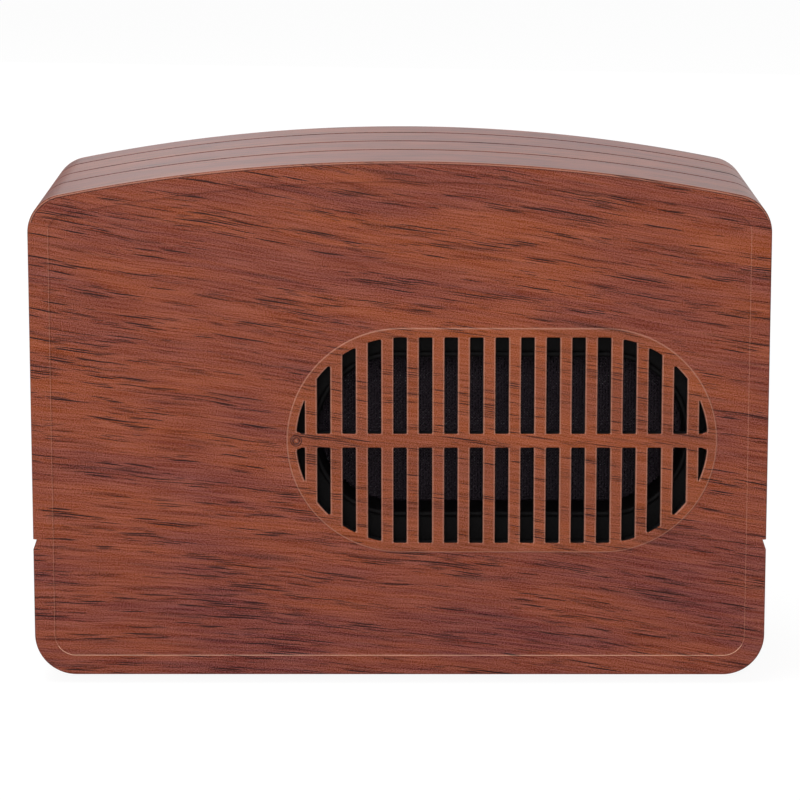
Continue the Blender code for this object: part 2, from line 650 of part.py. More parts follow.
def build_centre_shell(film):
    """Middle of the case: a sleeve whose tongues slide into the front and rear shells."""
    front = FRONT_PARTING + GAP / 2
    rear = REAR_PARTING - GAP / 2
    land = (GROOVE_WIDTH - GAP) / 2 - GROOVE_FLANK
    half = GROOVE_WIDTH / 2
    skin = WALL + GAP
    root = skin + TONGUE_WALL
    section = [
        (front, 0, GROOVE_DEPTH, NOTCH_DEPTH),
        (front + land, 0, GROOVE_DEPTH, NOTCH_DEPTH),
        (front + land + GROOVE_FLANK, 0, 0, NOTCH_DEPTH),
        (CENTRE_GROOVE - half, 0, 0, NOTCH_DEPTH),
        (CENTRE_GROOVE - half + GROOVE_FLANK, 0, GROOVE_DEPTH, NOTCH_DEPTH),
        (CENTRE_GROOVE + half - GROOVE_FLANK, 0, GROOVE_DEPTH, NOTCH_DEPTH),
        (CENTRE_GROOVE + half, 0, 0, NOTCH_DEPTH),
        (rear - land - GROOVE_FLANK, 0, 0, NOTCH_DEPTH),
        (rear - land, 0, GROOVE_DEPTH, NOTCH_DEPTH),
        (rear, 0, GROOVE_DEPTH, NOTCH_DEPTH),
        (rear, skin, 0, 0),
        (rear + TONGUE_LENGTH, skin, 0, 0),
        (rear + TONGUE_LENGTH, root, 0, 0),
        (rear - TONGUE_ROOT, root, 0, 0),
        (rear - TONGUE_ROOT - TONGUE_WALL, WALL, 0, 0),
        (front + TONGUE_ROOT + TONGUE_WALL, WALL, 0, 0),
        (front + TONGUE_ROOT, root, 0, 0),
        (front - TONGUE_LENGTH, root, 0, 0),
        (front - TONGUE_LENGTH, skin, 0, 0),
        (front, skin, 0, 0),
    ]
    shell = add("centre_shell", swept(case_outline(), section, ends=False), film)
    hole = circle(PANEL_X, TIP_Y, PLUNGER_RADIUS + 2 * GAP, 12)
    combine(shell, prism(hole, -OVERRUN, WALL + OVERRUN, "z"), "DIFFERENCE")


def build_rear_shell(film):
    """Rear of the case: a cup with openings for the intake grille and the control panel."""
    seam = REAR_PARTING + GAP / 2
    flat = seam + (GROOVE_WIDTH - GAP) / 2 - GROOVE_FLANK
    section = [
        (CASE_DEPTH - REAR_PLATE, WALL, 0, 0),
        (seam, WALL, 0, 0),
        (seam, 0, GROOVE_DEPTH, NOTCH_DEPTH),
        (flat, 0, GROOVE_DEPTH, NOTCH_DEPTH),
        (flat + GROOVE_FLANK, 0, 0, NOTCH_DEPTH),
    ]
    section += reversed(arris_section(CASE_DEPTH, -1))
    section += [(CASE_DEPTH, ARRIS + REAR_FACE_RING, 0, 0)]
    shell = add("rear_shell", swept(case_outline(), section), film)

    tubes = bmesh.new()
    for x, z in case_screw_places():
        tube = circle(x, z, TUBE_RADIUS, 8)
        prism(tube, FRONT_PARTING + TUBE_START + GAP, CASE_DEPTH - REAR_PLATE / 2, "y", tubes)
    combine(shell, tubes, "UNION")

    cuts = bmesh.new()
    beyond = CASE_DEPTH + OVERRUN
    intake = rounded(INTAKE_LENGTH, INTAKE_HEIGHT, INTAKE_CORNER, GRILLE_X, INTAKE_Z, 5)
    prism(points_of(intake), CASE_DEPTH - REAR_PLATE - OVERRUN, beyond, "y", cuts)
    panel = rounded(PANEL_WIDTH, PANEL_HEIGHT, PANEL_CORNER, PANEL_X, PANEL_Z, 4)
    prism(points_of(panel), CASE_DEPTH - REAR_PLATE - OVERRUN, beyond, "y", cuts)
    for side in (-1, 1):
        x = side * (CASE_WIDTH / 2 - FOOT_INSET_X)
        hole = circle(x, CASE_DEPTH - FOOT_INSET_REAR, FOOT_STEM + GAP, 8)
        prism(hole, -OVERRUN, WALL + OVERRUN, "z", cuts)
    bore = SCREW_RADIUS + SCREW_CLEARANCE
    well = SCREW_HEAD_RADIUS + 2 * GAP
    for x, z in case_screw_places():
        stepped = [
            [(u, y, v) for u, v in circle(x, z, radius, 8)]
            for radius, y in (
                (bore, FRONT_PARTING),
                (bore, CASE_SCREW_SEAT),
                (well, CASE_SCREW_SEAT),
                (well, beyond),
            )
        ]
        loft(stepped, cuts)
    combine(shell, cuts, "DIFFERENCE")


def build_intake_grille(black):
    """Slotted grille that drops into the rear opening from inside, held by its flange."""
    inner = CASE_DEPTH - REAR_PLATE - GAP
    opening = rounded(INTAKE_LENGTH, INTAKE_HEIGHT, INTAKE_CORNER, GRILLE_X, INTAKE_Z, 5)
    section = [
        (inner - INSERT_FLANGE, -FLANGE_OVERLAP, 0, 0),
        (inner, -FLANGE_OVERLAP, 0, 0),
        (inner, GAP, 0, 0),
        (CASE_DEPTH - INTAKE_SINK, GAP, 0, 0),
    ]
    grille = add("intake_grille", swept(opening, section), black)
    length = INTAKE_LENGTH - 2 * INTAKE_BORDER
    height = INTAKE_HEIGHT - 2 * INTAKE_BORDER
    corner = INTAKE_CORNER - INTAKE_BORDER
    cuts = bmesh.new()
    for outline in louvre_slots(length, height, corner):
        shifted = [(GRILLE_X + x, INTAKE_Z + z) for x, z in outline]
        prism(shifted, inner - INSERT_FLANGE - OVERRUN, CASE_DEPTH + OVERRUN, "y", cuts)
    combine(grille, cuts, "DIFFERENCE")


def build_control_panel(black):
    """Sunk tray for the controls, flanged behind the rear face."""
    inner = CASE_DEPTH - REAR_PLATE - GAP
    opening = rounded(PANEL_WIDTH, PANEL_HEIGHT, PANEL_CORNER, PANEL_X, PANEL_Z, 4)
    section = [
        (PANEL_FLOOR_Y, PANEL_CHAMFER, 0, 0),
        (PANEL_FLOOR_Y + PANEL_CHAMFER, 0, 0, 0),
        (inner, 0, 0, 0),
        (inner, -FLANGE_OVERLAP, 0, 0),
        (inner - INSERT_FLANGE, -FLANGE_OVERLAP, 0, 0),
        (inner - INSERT_FLANGE, -PANEL_WALL, 0, 0),
        (PANEL_FLOOR_Y - PANEL_WALL, -PANEL_WALL, 0, 0),
    ]
    panel = add("control_panel", swept(opening, section), black)
    cuts = bmesh.new()
    holes = (
        (THERMOSTAT_UP, BUSH_RADIUS + GAP),
        (SELECTOR_UP, BUSH_RADIUS + GAP),
        (GLAND_UP, GLAND_RADIUS + GAP),
        (LAMP_UP, LENS_RADIUS + GAP),
    )
    for up, radius in holes:
        hole = circle(PANEL_X, PANEL_BOTTOM + up, radius, 12)
        prism(hole, PANEL_FLOOR_Y - PANEL_WALL - OVERRUN, PANEL_FLOOR_Y + OVERRUN, "y", cuts)
    combine(panel, cuts, "DIFFERENCE")


def build_feet(rubber):
    """Four round feet, each with a stem pushed into the floor of its shell."""
    profile = [
        (0, -FOOT_HEIGHT),
        (FOOT_RADIUS - FOOT_CHAMFER, -FOOT_HEIGHT),
        (FOOT_RADIUS, FOOT_CHAMFER - FOOT_HEIGHT),
        (FOOT_RADIUS, -GAP),
        (FOOT_STEM, -GAP),
        (FOOT_STEM, WALL + FOOT_STEM_END),
        (0, WALL + FOOT_STEM_END),
    ]
    x = CASE_WIDTH / 2 - FOOT_INSET_X
    front, rear = FOOT_INSET_FRONT, CASE_DEPTH - FOOT_INSET_REAR
    foot = add("foot_front_left", turned(profile, 10), rubber, (-x, front, 0))
    again(foot, "foot_front_right", (x, front, 0))
    again(foot, "foot_rear_left", (-x, rear, 0))
    again(foot, "foot_rear_right", (x, rear, 0))


def add_four_screws(name, places, seat, length, steel):
    corners = ("lower_left", "lower_right", "upper_left", "upper_right")
    at = [(x, seat, z) for x, z in places]
    first = add(f"{name}_{corners[0]}", screw(length), steel, at[0], BACKWARD)
    for corner, place in zip(corners[1:], at[1:]):
        again(first, f"{name}_{corner}", place)


def build_case_screws(steel):
    """Long screws from wells in the rear, through the rear shell's tubes, into the front shell's bosses."""
    seat = CASE_SCREW_SEAT + GAP
    add_four_screws("case_screw", case_screw_places(), seat, seat - CASE_SCREW_TIP, steel)


def build_air_screws(steel):
    """Screws that clamp the blower, the heater frame and the duct to the front shell's bosses."""
    seat = PLATE_FLANGE_Y + SHEET + GAP
    add_four_screws("air_path_screw", air_screw_places(), seat, seat - AIR_SCREW_TIP, steel)


def build_outlet_duct(black):
    """Stadium-shaped nozzle behind the outlet grille, with a rolled lip and a square flange."""
    mouth = rounded(MOUTH_LENGTH, MOUTH_HEIGHT, MOUTH_HEIGHT / 2, GRILLE_X, GRILLE_Z, 5)
    lip = DUCT_LIP_FLARE
    section = [
        (DUCT_REAR_Y, 0, 0, 0),
        (DUCT_LIP_Y + lip, 0, 0, 0),
        (DUCT_LIP_Y + lip * 0.3, -lip * 0.3, 0, 0),
        (DUCT_LIP_Y, -lip, 0, 0),
        (DUCT_LIP_Y, -lip - DUCT_WALL * 0.6, 0, 0),
        (DUCT_LIP_Y + lip * 2, -DUCT_WALL, 0, 0),
        (DUCT_REAR_Y, -DUCT_WALL, 0, 0),
    ]
    duct = add("outlet_duct", swept(mouth, section, ends=False), black)
    plate = rounded(FRAME_LENGTH, FRAME_HEIGHT, FRAME_CORNER, GRILLE_X, GRILLE_Z, 3)
    flange = add("duct_flange", prism(points_of(plate), DUCT_REAR_Y - FLANGE_THICKNESS, DUCT_REAR_Y), None)
    flange.hide_render = True
    flange.display_type = "WIRE"
    before, behind = DUCT_REAR_Y - 2 * FLANGE_THICKNESS, DUCT_REAR_Y + OVERRUN
    opening = prism(points_of(mouth, -DUCT_WALL / 2), before, behind)
    for x, z in air_screw_places():
        prism(circle(x, z, SCREW_RADIUS + SCREW_CLEARANCE, 6), before, behind, "y", opening)
    combine(flange, opening, "DIFFERENCE")
    join = duct.modifiers.new("Flange", "BOOLEAN")
    join.operation = "UNION"
    join.object = flange
    join.solver = "EXACT"


def build_guard(black):
    """Guard across the air path: a thin frame with close upright bars, let into the heater frame."""
    half_length, half_height = ELEMENT_LENGTH / 2, ELEMENT_HEIGHT / 2
    count = int(ELEMENT_LENGTH / GUARD_PITCH)
    middles = [(i - (count - 1) / 2) * GUARD_PITCH for i in range(count)]
    sides = [middle + side * GUARD_BAR / 2 for middle in middles for side in (-1, 1)]
    lines = [-half_length - GUARD_BORDER, -half_length] + sides + [half_length, half_length + GUARD_BORDER]
    levels = [-half_height - GUARD_BORDER, -half_height, half_height, half_height + GUARD_BORDER]
    shape = bmesh.new()
    grid = [[shape.verts.new((x, -GUARD_THICKNESS / 2, z)) for z in levels] for x in lines]
    for i in range(len(lines) - 1):
        for j in range(3):
            slot = j == 1 and i % 2 == 1 and 0 < i < len(lines) - 2
            if not slot:
                shape.faces.new((grid[i][j], grid[i + 1][j], grid[i + 1][j + 1], grid[i][j + 1]))
    made = bmesh.ops.extrude_face_region(shape, geom=shape.faces[:])
    moved = [item for item in made["geom"] if isinstance(item, bmesh.types.BMVert)]
    bmesh.ops.translate(shape, vec=(0, GUARD_THICKNESS, 0), verts=moved)
    y = FRAME_FRONT_Y + GAP + GUARD_THICKNESS / 2
    add("guard_screen", shape, black, (GRILLE_X, y, GRILLE_Z))


def bar_levels():
    return [(i - (BAR_COUNT - 1) / 2) * STACK_PITCH for i in range(BAR_COUNT)]


def build_heater_frame(phenolic):
    """Frame that holds the element: pockets for the bars' ends, slots for the tabs, a rebate in front."""
    block = rounded(FRAME_LENGTH, FRAME_HEIGHT, FRAME_CORNER, GRILLE_X, GRILLE_Z, 3)
    frame = add("heater_frame", prism(points_of(block), FRAME_FRONT_Y, FRAME_REAR_Y), phenolic)
    half_length = ELEMENT_LENGTH / 2 + GAP
    half_height = ELEMENT_HEIGHT / 2 + GAP
    x, z = GRILLE_X, GRILLE_Z
    window = [(x - half_length, z - half_height), (x + half_length, z - half_height)]
    window += [(x + half_length, z + half_height), (x - half_length, z + half_height)]
    combine(frame, prism(window, FRAME_FRONT_Y - OVERRUN, FRAME_REAR_Y + OVERRUN), "DIFFERENCE")
    border = GUARD_BORDER
    rebate = [(u + math.copysign(border, u - x), v + math.copysign(border, v - z)) for u, v in window]
    combine(frame, prism(rebate, FRAME_FRONT_Y - OVERRUN, REBATE_Y), "DIFFERENCE")
    cuts = bmesh.new()
    pocket_y = (ELEMENT_Y - BAR_DEPTH / 2 - GAP, ELEMENT_Y + BAR_DEPTH / 2 + GAP)
    for level in bar_levels():
        low, high = z + level - BAR_HEIGHT / 2 - GAP, z + level + BAR_HEIGHT / 2 + GAP
        reach = ELEMENT_LENGTH / 2 + BAR_SEAT + GAP
        pocket = [(x - reach, low), (x + reach, low), (x + reach, high), (x - reach, high)]
        prism(pocket, *pocket_y, "y", cuts)
    combine(frame, cuts, "DIFFERENCE")
    ways = bmesh.new()
    for level in bar_levels():
        low, high = z + level - TAB_THICKNESS / 2 - GAP, z + level + TAB_THICKNESS / 2 + GAP
        start, end = x - FRAME_LENGTH / 2 - OVERRUN, x - ELEMENT_LENGTH / 2 - BAR_SEAT + OVERRUN
        way = [(start, low), (end, low), (end, high), (start, high)]
        prism(way, ELEMENT_Y - TAB_WIDTH / 2 - GAP, ELEMENT_Y + TAB_WIDTH / 2 + GAP, "y", ways)
    bore = SCREW_RADIUS + SCREW_CLEARANCE
    for u, v in air_screw_places():
        hole = circle(u, v, bore, 6)
        prism(hole, FRAME_FRONT_Y - OVERRUN, FRAME_REAR_Y + OVERRUN, "y", ways)
    combine(frame, ways, "DIFFERENCE")


def build_element(aluminium, brass):
    """Ceramic element: flat tubes that hold the ceramic stones, folded fins between them, brass tabs."""
    length = ELEMENT_LENGTH + 2 * BAR_SEAT
    bar = rounded(BAR_DEPTH, BAR_HEIGHT, BAR_ROUND, steps=2)
    shape = prism([(e.x, e.z) for e in bar], -length / 2, length / 2, "x")
    tube = add("ptc_bar_1", shape, aluminium, (GRILLE_X, ELEMENT_Y, GRILLE_Z + bar_levels()[0]))
    tab = [(-TAB_LENGTH, -TAB_WIDTH / 2), (0, -TAB_WIDTH / 2), (0, TAB_WIDTH / 2)]
    tab += [(-TAB_LENGTH, TAB_WIDTH / 2), (-TAB_LENGTH - TAB_POINT, TAB_WIDTH / 2 - TAB_POINT)]
    tab += [(-TAB_LENGTH - TAB_POINT, TAB_POINT - TAB_WIDTH / 2)]
    blade = prism(tab, -TAB_THICKNESS / 2, TAB_THICKNESS / 2, "z")
    end_x = GRILLE_X - length / 2 - GAP
    terminal = add("element_tab_1", blade, brass, (end_x, ELEMENT_Y, GRILLE_Z + bar_levels()[0]))
    for i, level in enumerate(bar_levels()[1:], 2):
        again(tube, f"ptc_bar_{i}", (GRILLE_X, ELEMENT_Y, GRILLE_Z + level))
        again(terminal, f"element_tab_{i}", (end_x, ELEMENT_Y, GRILLE_Z + level))

    folds = int((ELEMENT_LENGTH - 2 * FIN_END) / FIN_PITCH)
    half = folds * FIN_PITCH / 2
    top = FIN_HEIGHT / 2
    slope = FIN_SHEET * math.hypot(FIN_HEIGHT, FIN_PITCH / 2) / (FIN_PITCH / 2)
    upper = [(-half + i * FIN_PITCH / 2, top if i % 2 else -top + slope) for i in range(2 * folds + 1)]
    lower = [(x, z - slope) for x, z in upper]
    depth = BAR_DEPTH - 2 * FIN_SETBACK
    fin_levels = [(i - BAR_COUNT / 2) * STACK_PITCH for i in range(BAR_COUNT + 1)]
    fin_shape = prism(upper + lower[::-1], -depth / 2, depth / 2, "y")
    fin = add("fin_row_1", fin_shape, aluminium, (GRILLE_X, ELEMENT_Y, GRILLE_Z + fin_levels[0]))
    for i, level in enumerate(fin_levels[1:], 2):
        again(fin, f"fin_row_{i}", (GRILLE_X, ELEMENT_Y, GRILLE_Z + level))


def build_thermal_cutout(phenolic):
    """Disc thermostat that stands on the heater frame and breaks the circuit if the air stops."""
    shoulder = CUTOUT_HEIGHT - CUTOUT_CHAMFER
    profile = [(0, CUTOUT_BASE), (CUTOUT_RADIUS, CUTOUT_BASE), (CUTOUT_RADIUS, shoulder)]
    profile += [(CUTOUT_RADIUS - CUTOUT_CHAMFER, CUTOUT_HEIGHT), (0, CUTOUT_HEIGHT)]
    at = (GRILLE_X + ELEMENT_LENGTH / 4, ELEMENT_Y, GRILLE_Z + FRAME_HEIGHT / 2 + GAP)
    cutout = add("thermal_cutout", turned(profile, 14), phenolic, at)
    strap = rounded(CUTOUT_STRAP, CUTOUT_STRAP_WIDTH, 0.45 * CUTOUT_STRAP_WIDTH, steps=3)
    parts = prism(points_of(strap), 0, CUTOUT_SHEET, "z")
    for side in (-1, 1):
        blade = box_outline(side * CUTOUT_BLADE_X, 0, TAB_THICKNESS, TAB_WIDTH)
        prism(blade, CUTOUT_HEIGHT - CUTOUT_BLADE_ROOT, CUTOUT_HEIGHT + CUTOUT_BLADE, "z", parts)
    combine(cutout, parts, "UNION", at)


def scroll_radius(turn):
    """Inner radius of the scroll about the fan axis; it opens steadily from its start to its end."""
    share = (SCROLL_START - turn) / (SCROLL_START - SCROLL_END)
    return IMPELLER_RADIUS + SCROLL_START_GAP + (SCROLL_END_GAP - SCROLL_START_GAP) * share


def scroll_path():
    """Inner face of the scroll, as (y, z): round the impeller, then straight to the foot of the element."""
    steps = 12
    path = []
    for i in range(steps + 1):
        turn = SCROLL_START + (SCROLL_END - SCROLL_START) * i / steps
        radius = scroll_radius(turn)
        path.append((FAN_Y + radius * math.cos(turn), FAN_Z + radius * math.sin(turn)))
    floor = GRILLE_Z - ELEMENT_HEIGHT / 2
    return path + [(PLATE_FLANGE_Y, floor), (PLATE_FLANGE_Y, floor - LEDGE)]


def build_blower_housing(steel):
    """Sheet-metal housing: a scroll below and behind the impeller, a tongue above, two end plates."""
    low_x, high_x = PLATE_LEFT_X + SHEET + GAP, PLATE_RIGHT_X - SHEET - GAP
    add("scroll_plate", prism(ribbon(scroll_path(), SHEET), low_x, high_x, "x"), steel)

    ceiling = GRILLE_Z + ELEMENT_HEIGHT / 2
    tongue = arc(FAN_Y, FAN_Z, IMPELLER_RADIUS + TONGUE_GAP, TONGUE_START, TONGUE_END, 4)
    tongue += [(PLATE_FLANGE_Y, ceiling), (PLATE_FLANGE_Y, ceiling + LEDGE)]
    add("tongue_plate", prism(ribbon(tongue, -SHEET), low_x, high_x, "x"), steel)

    scroll_outside = ribbon(scroll_path(), SHEET)[len(scroll_path()) + 2 :]
    roof = arc(FAN_Y, FAN_Z, scroll_radius(SCROLL_START) + SHEET, SCROLL_START + 0.2, TONGUE_START - 0.2, 7)
    low, high = GRILLE_Z - AIR_SCREW_Z - PLATE_MARGIN, GRILLE_Z + AIR_SCREW_Z + PLATE_MARGIN
    border = [(PLATE_FLANGE_Y, low)] + scroll_outside + roof + [(PLATE_FLANGE_Y, high)]
    for name, inner, side in (("left", PLATE_LEFT_X, -1), ("right", PLATE_RIGHT_X - SHEET, 1)):
        plate = add(f"end_plate_{name}", prism(border, inner, inner + SHEET, "x"), steel)
        face_x = PLATE_LEFT_X if side < 0 else PLATE_RIGHT_X
        screw_x = GRILLE_X + side * AIR_SCREW_X
        root_x, edge_x = face_x - side * SHEET / 2, screw_x + side * PLATE_MARGIN
        tab_height = high - low - 2 * PLATE_TAB_RELIEF
        tab = box_outline((root_x + edge_x) / 2, GRILLE_Z, abs(edge_x - root_x), tab_height)
        additions = prism(tab, PLATE_FLANGE_Y + PLATE_TAB_SETBACK, PLATE_FLANGE_Y + SHEET)
        if side < 0:
            for y in bolt_places():
                post = circle(y, FAN_Z, BOLT_RADIUS + STANDOFF_WALL, 8)
                post_end = STACK_RIGHT_X + BRACKET_SHEET + 2 * GAP
                prism(post, post_end, PLATE_LEFT_X + SHEET / 2, "x", additions)
        combine(plate, additions, "UNION")
        cuts = bmesh.new()
        bore = SCREW_RADIUS + SCREW_CLEARANCE
        for z in (GRILLE_Z - AIR_SCREW_Z, GRILLE_Z + AIR_SCREW_Z):
            hole = circle(screw_x, z, bore, 6)
            prism(hole, PLATE_FLANGE_Y - OVERRUN, PLATE_FLANGE_Y + SHEET + OVERRUN, "y", cuts)
        prism(circle(FAN_Y, FAN_Z, BEARING_SEAT, 12), inner - OVERRUN, inner + SHEET + OVERRUN, "x", cuts)
        if side < 0:
            for y in bolt_places():
                hole = circle(y, FAN_Z, BOLT_RADIUS + GAP, 8)
                prism(hole, PLATE_LEFT_X - MOTOR_STANDOFF, PLATE_LEFT_X + SHEET + OVERRUN, "x", cuts)
        combine(plate, cuts, "DIFFERENCE")


def build_impeller(plastic, fan_axis):
    """Cross-flow impeller: curved blades the whole length, carried by two end discs and a middle one."""
    half = IMPELLER_LENGTH / 2
    bore = SHAFT_RADIUS + GAP
    start = -half
    discs = turned(
        [
            (bore, start),
            (IMPELLER_RADIUS, start),
            (IMPELLER_RADIUS, start + DISC_THICKNESS),
            (HUB_RADIUS, start + DISC_THICKNESS),
            (HUB_RADIUS, start + HUB_LENGTH),
            (bore, start + HUB_LENGTH),
        ],
        18,
        closed=True,
    )
    inner = IMPELLER_RADIUS - MIDDLE_DISC_WIDTH
    mid = DISC_THICKNESS / 2
    ring = [(inner, -mid), (IMPELLER_RADIUS, -mid), (IMPELLER_RADIUS, mid), (inner, mid)]
    turned(ring, 18, closed=True, shape=discs)
    end = half + STUB_LENGTH
    turned(
        [
            (0, half - DISC_THICKNESS),
            (IMPELLER_RADIUS, half - DISC_THICKNESS),
            (IMPELLER_RADIUS, half),
            (STUB_RADIUS, half),
            (STUB_RADIUS, end),
            (0, end),
        ],
        18,
        shape=discs,
    )
    impeller = add("impeller", discs, plastic, (0, 0, 0), (0, 0, 0), fan_axis)
    blades = bmesh.new()
    root = IMPELLER_RADIUS - BLADE_CHORD
    tip = IMPELLER_RADIUS - BLADE_INSET
    cover = 0.5 * DISC_THICKNESS
    for i in range(BLADE_COUNT):
        spin = Matrix.Rotation(2 * math.pi * (i + 0.25) / BLADE_COUNT, 2)
        middle = ((root + tip) / 2, BLADE_BOW)
        path = [(root, -0.6 * BLADE_BOW), middle, (tip, -0.2 * BLADE_BOW)]
        outline = ribbon(path, BLADE_THICKNESS)
        spun = [(spin[0][0] * x + spin[0][1] * y, spin[1][0] * x + spin[1][1] * y) for x, y in outline]
        prism(spun, cover - half, half - cover, "z", blades)
    combine(impeller, blades, "UNION")


def bolt_places():
    return (FAN_Y - BOLT_SPACING / 2, FAN_Y + BOLT_SPACING / 2)


def build_motor(lamination, copper, nylon, steel, bronze, fan_axis):
    """Shaded-pole motor beside the blower: laminated core, coil on its yoke, two brackets, rotor, shaft."""
    left, right = STACK_LEFT_X, STACK_RIGHT_X
    middle_z = FAN_Z + (STACK_TOP - STACK_BOTTOM) / 2
    core = rounded(STACK_WIDTH, STACK_TOP + STACK_BOTTOM, STACK_CORNER, FAN_Y, middle_z, 2)
    stack = add("motor_core", prism(points_of(core), left, right, "x"), lamination)
    yoke_top = FAN_Z - STACK_BOTTOM + YOKE_HEIGHT
    half = WINDOW_WIDTH / 2
    window = [(FAN_Y - half, yoke_top), (FAN_Y + half, yoke_top)]
    window += [(FAN_Y + half, yoke_top + WINDOW_HEIGHT), (FAN_Y - half, yoke_top + WINDOW_HEIGHT)]
    cuts = prism(window, left - OVERRUN, right + OVERRUN, "x")
    opening = ROTOR_RADIUS + AIR_GAP
    prism(circle(FAN_Y, FAN_Z, opening, 24), left - OVERRUN, right + OVERRUN, "x", cuts)
    for y in bolt_places():
        hole = circle(y, FAN_Z, BOLT_RADIUS + GAP, 8)
        prism(hole, left - OVERRUN, right + OVERRUN, "x", cuts)
    combine(stack, cuts, "DIFFERENCE")

    build = COIL_BUILD + COIL_CORE_WALL
    coil_x = (left + right) / 2
    coil_z = yoke_top - YOKE_HEIGHT / 2
    span_x = STACK_THICKNESS + 2 * GAP + 2 * build
    span_z = YOKE_HEIGHT + 2 * GAP + 2 * build
    body = rounded(span_x, span_z, build + COIL_CORNER, coil_x, coil_z, 2)
    front, rear = FAN_Y - COIL_LENGTH / 2, FAN_Y + COIL_LENGTH / 2
    cheek = COIL_CHEEK
    spool = [(front, 0, 0, 0), (front + cheek, 0, 0, 0), (front + cheek, COIL_BUILD, 0, 0)]
    spool += [(rear - cheek, COIL_BUILD, 0, 0), (rear - cheek, 0, 0, 0), (rear, 0, 0, 0)]
    spool += [(rear, build, 0, 0), (front, build, 0, 0)]
    add("coil_bobbin", swept(body, spool, ends=False), nylon)
    turns = [(front + cheek + GAP, COIL_SLACK, 0, 0), (rear - cheek - GAP, COIL_SLACK, 0, 0)]
    turns += [(rear - cheek - GAP, COIL_BUILD - GAP, 0, 0), (front + cheek + GAP, COIL_BUILD - GAP, 0, 0)]
    add("coil_winding", swept(body, turns, ends=False), copper)

    for name, face, side in (("left", left - GAP, -1), ("right", right + GAP, 1)):
        rise = BRACKET_RISE_LEFT if side < 0 else BRACKET_RISE_RIGHT
        ends = BOLT_SPACING / 2 + BRACKET_FOOT / 2
        path = [(face, FAN_Y - ends), (face, FAN_Y - ends + BRACKET_FOOT)]
        dome = face + side * rise
        path += [(dome, FAN_Y - BRACKET_DOME / 2), (dome, FAN_Y + BRACKET_DOME / 2)]
        path += [(face, FAN_Y + ends - BRACKET_FOOT), (face, FAN_Y + ends)]
        outline = ribbon(path, BRACKET_SHEET if side < 0 else -BRACKET_SHEET)
        bracket = prism(outline, FAN_Z - BRACKET_WIDTH / 2, FAN_Z + BRACKET_WIDTH / 2, "z")
        strap = add(f"motor_bracket_{name}", bracket, steel)
        reach = sorted((face - side * OVERRUN, face + side * (rise + 2 * BRACKET_SHEET)))
        holes = prism(circle(FAN_Y, FAN_Z, BEARING_RADIUS + GAP, 12), *reach, "x")
        for y in bolt_places():
            prism(circle(y, FAN_Z, BOLT_RADIUS + GAP, 8), *reach, "x", holes)
        combine(strap, holes, "DIFFERENCE")
        bore = SHAFT_RADIUS + GAP
        inner = -GAP - BEARING_FLANGE_THICKNESS
        bush = turned(
            [
                (bore, inner),
                (BEARING_FLANGE, inner),
                (BEARING_FLANGE, -GAP),
                (BEARING_RADIUS, -GAP),
                (BEARING_RADIUS, BRACKET_SHEET + BEARING_STAND),
                (bore, BRACKET_SHEET + BEARING_STAND),
            ],
            12,
            closed=True,
        )
        turn = SIDEWAYS if side > 0 else (0, math.radians(-90), 0)
        add(f"bearing_{name}", bush, bronze, (face + side * rise, FAN_Y, FAN_Z), turn)

    head_x = left - GAP - BRACKET_SHEET - GAP
    tip_x = PLATE_LEFT_X + BOLT_END
    for name, y in zip(("front", "rear"), bolt_places()):
        bolt = screw(tip_x - head_x, BOLT_RADIUS, BOLT_HEAD_RADIUS, SCREW_HEAD, 6)
        add(f"motor_bolt_{name}", bolt, steel, (head_x, y, FAN_Z), (0, math.radians(-90), 0))

    bore = SHAFT_RADIUS + GAP
    cage = [(bore, left), (ROTOR_RADIUS, left), (ROTOR_RADIUS, right), (bore, right)]
    centre = fan_axis.location.x
    ring = turned([(r, x - centre) for r, x in cage], 20, closed=True)
    add("motor_rotor", ring, lamination, (0, 0, 0), (0, 0, 0), fan_axis)
    start = left - BRACKET_RISE_LEFT - BRACKET_SHEET - SHAFT_OVERHANG - centre
    end = HUB_LENGTH - SHAFT_SHORT - IMPELLER_LENGTH / 2
    spindle = [(0, start), (SHAFT_RADIUS - SHAFT_CHAMFER, start), (SHAFT_RADIUS, start + SHAFT_CHAMFER)]
    spindle += [(SHAFT_RADIUS, end), (0, end)]
    add("motor_shaft", turned(spindle, 14), steel, (0, 0, 0), (0, 0, 0), fan_axis)


def build_end_bearing(rubber):
    """Rubber bush in the right end plate, for the impeller's stub."""
    bore = STUB_RADIUS + GAP + END_BUSH_EASE
    body = BEARING_SEAT - GAP
    inner, face = -END_BUSH_INSIDE, SHEET + GAP
    tip = inner + END_BUSH_LENGTH
    profile = [(bore, inner), (body, inner), (body, face), (END_BUSH_FLANGE, face)]
    profile += [(END_BUSH_FLANGE, face + END_BUSH_RIM), (body, tip), (bore, tip)]
    at = (PLATE_RIGHT_X - SHEET, FAN_Y, FAN_Z)
    add("end_bearing", turned(profile, 12, closed=True), rubber, at, SIDEWAYS)


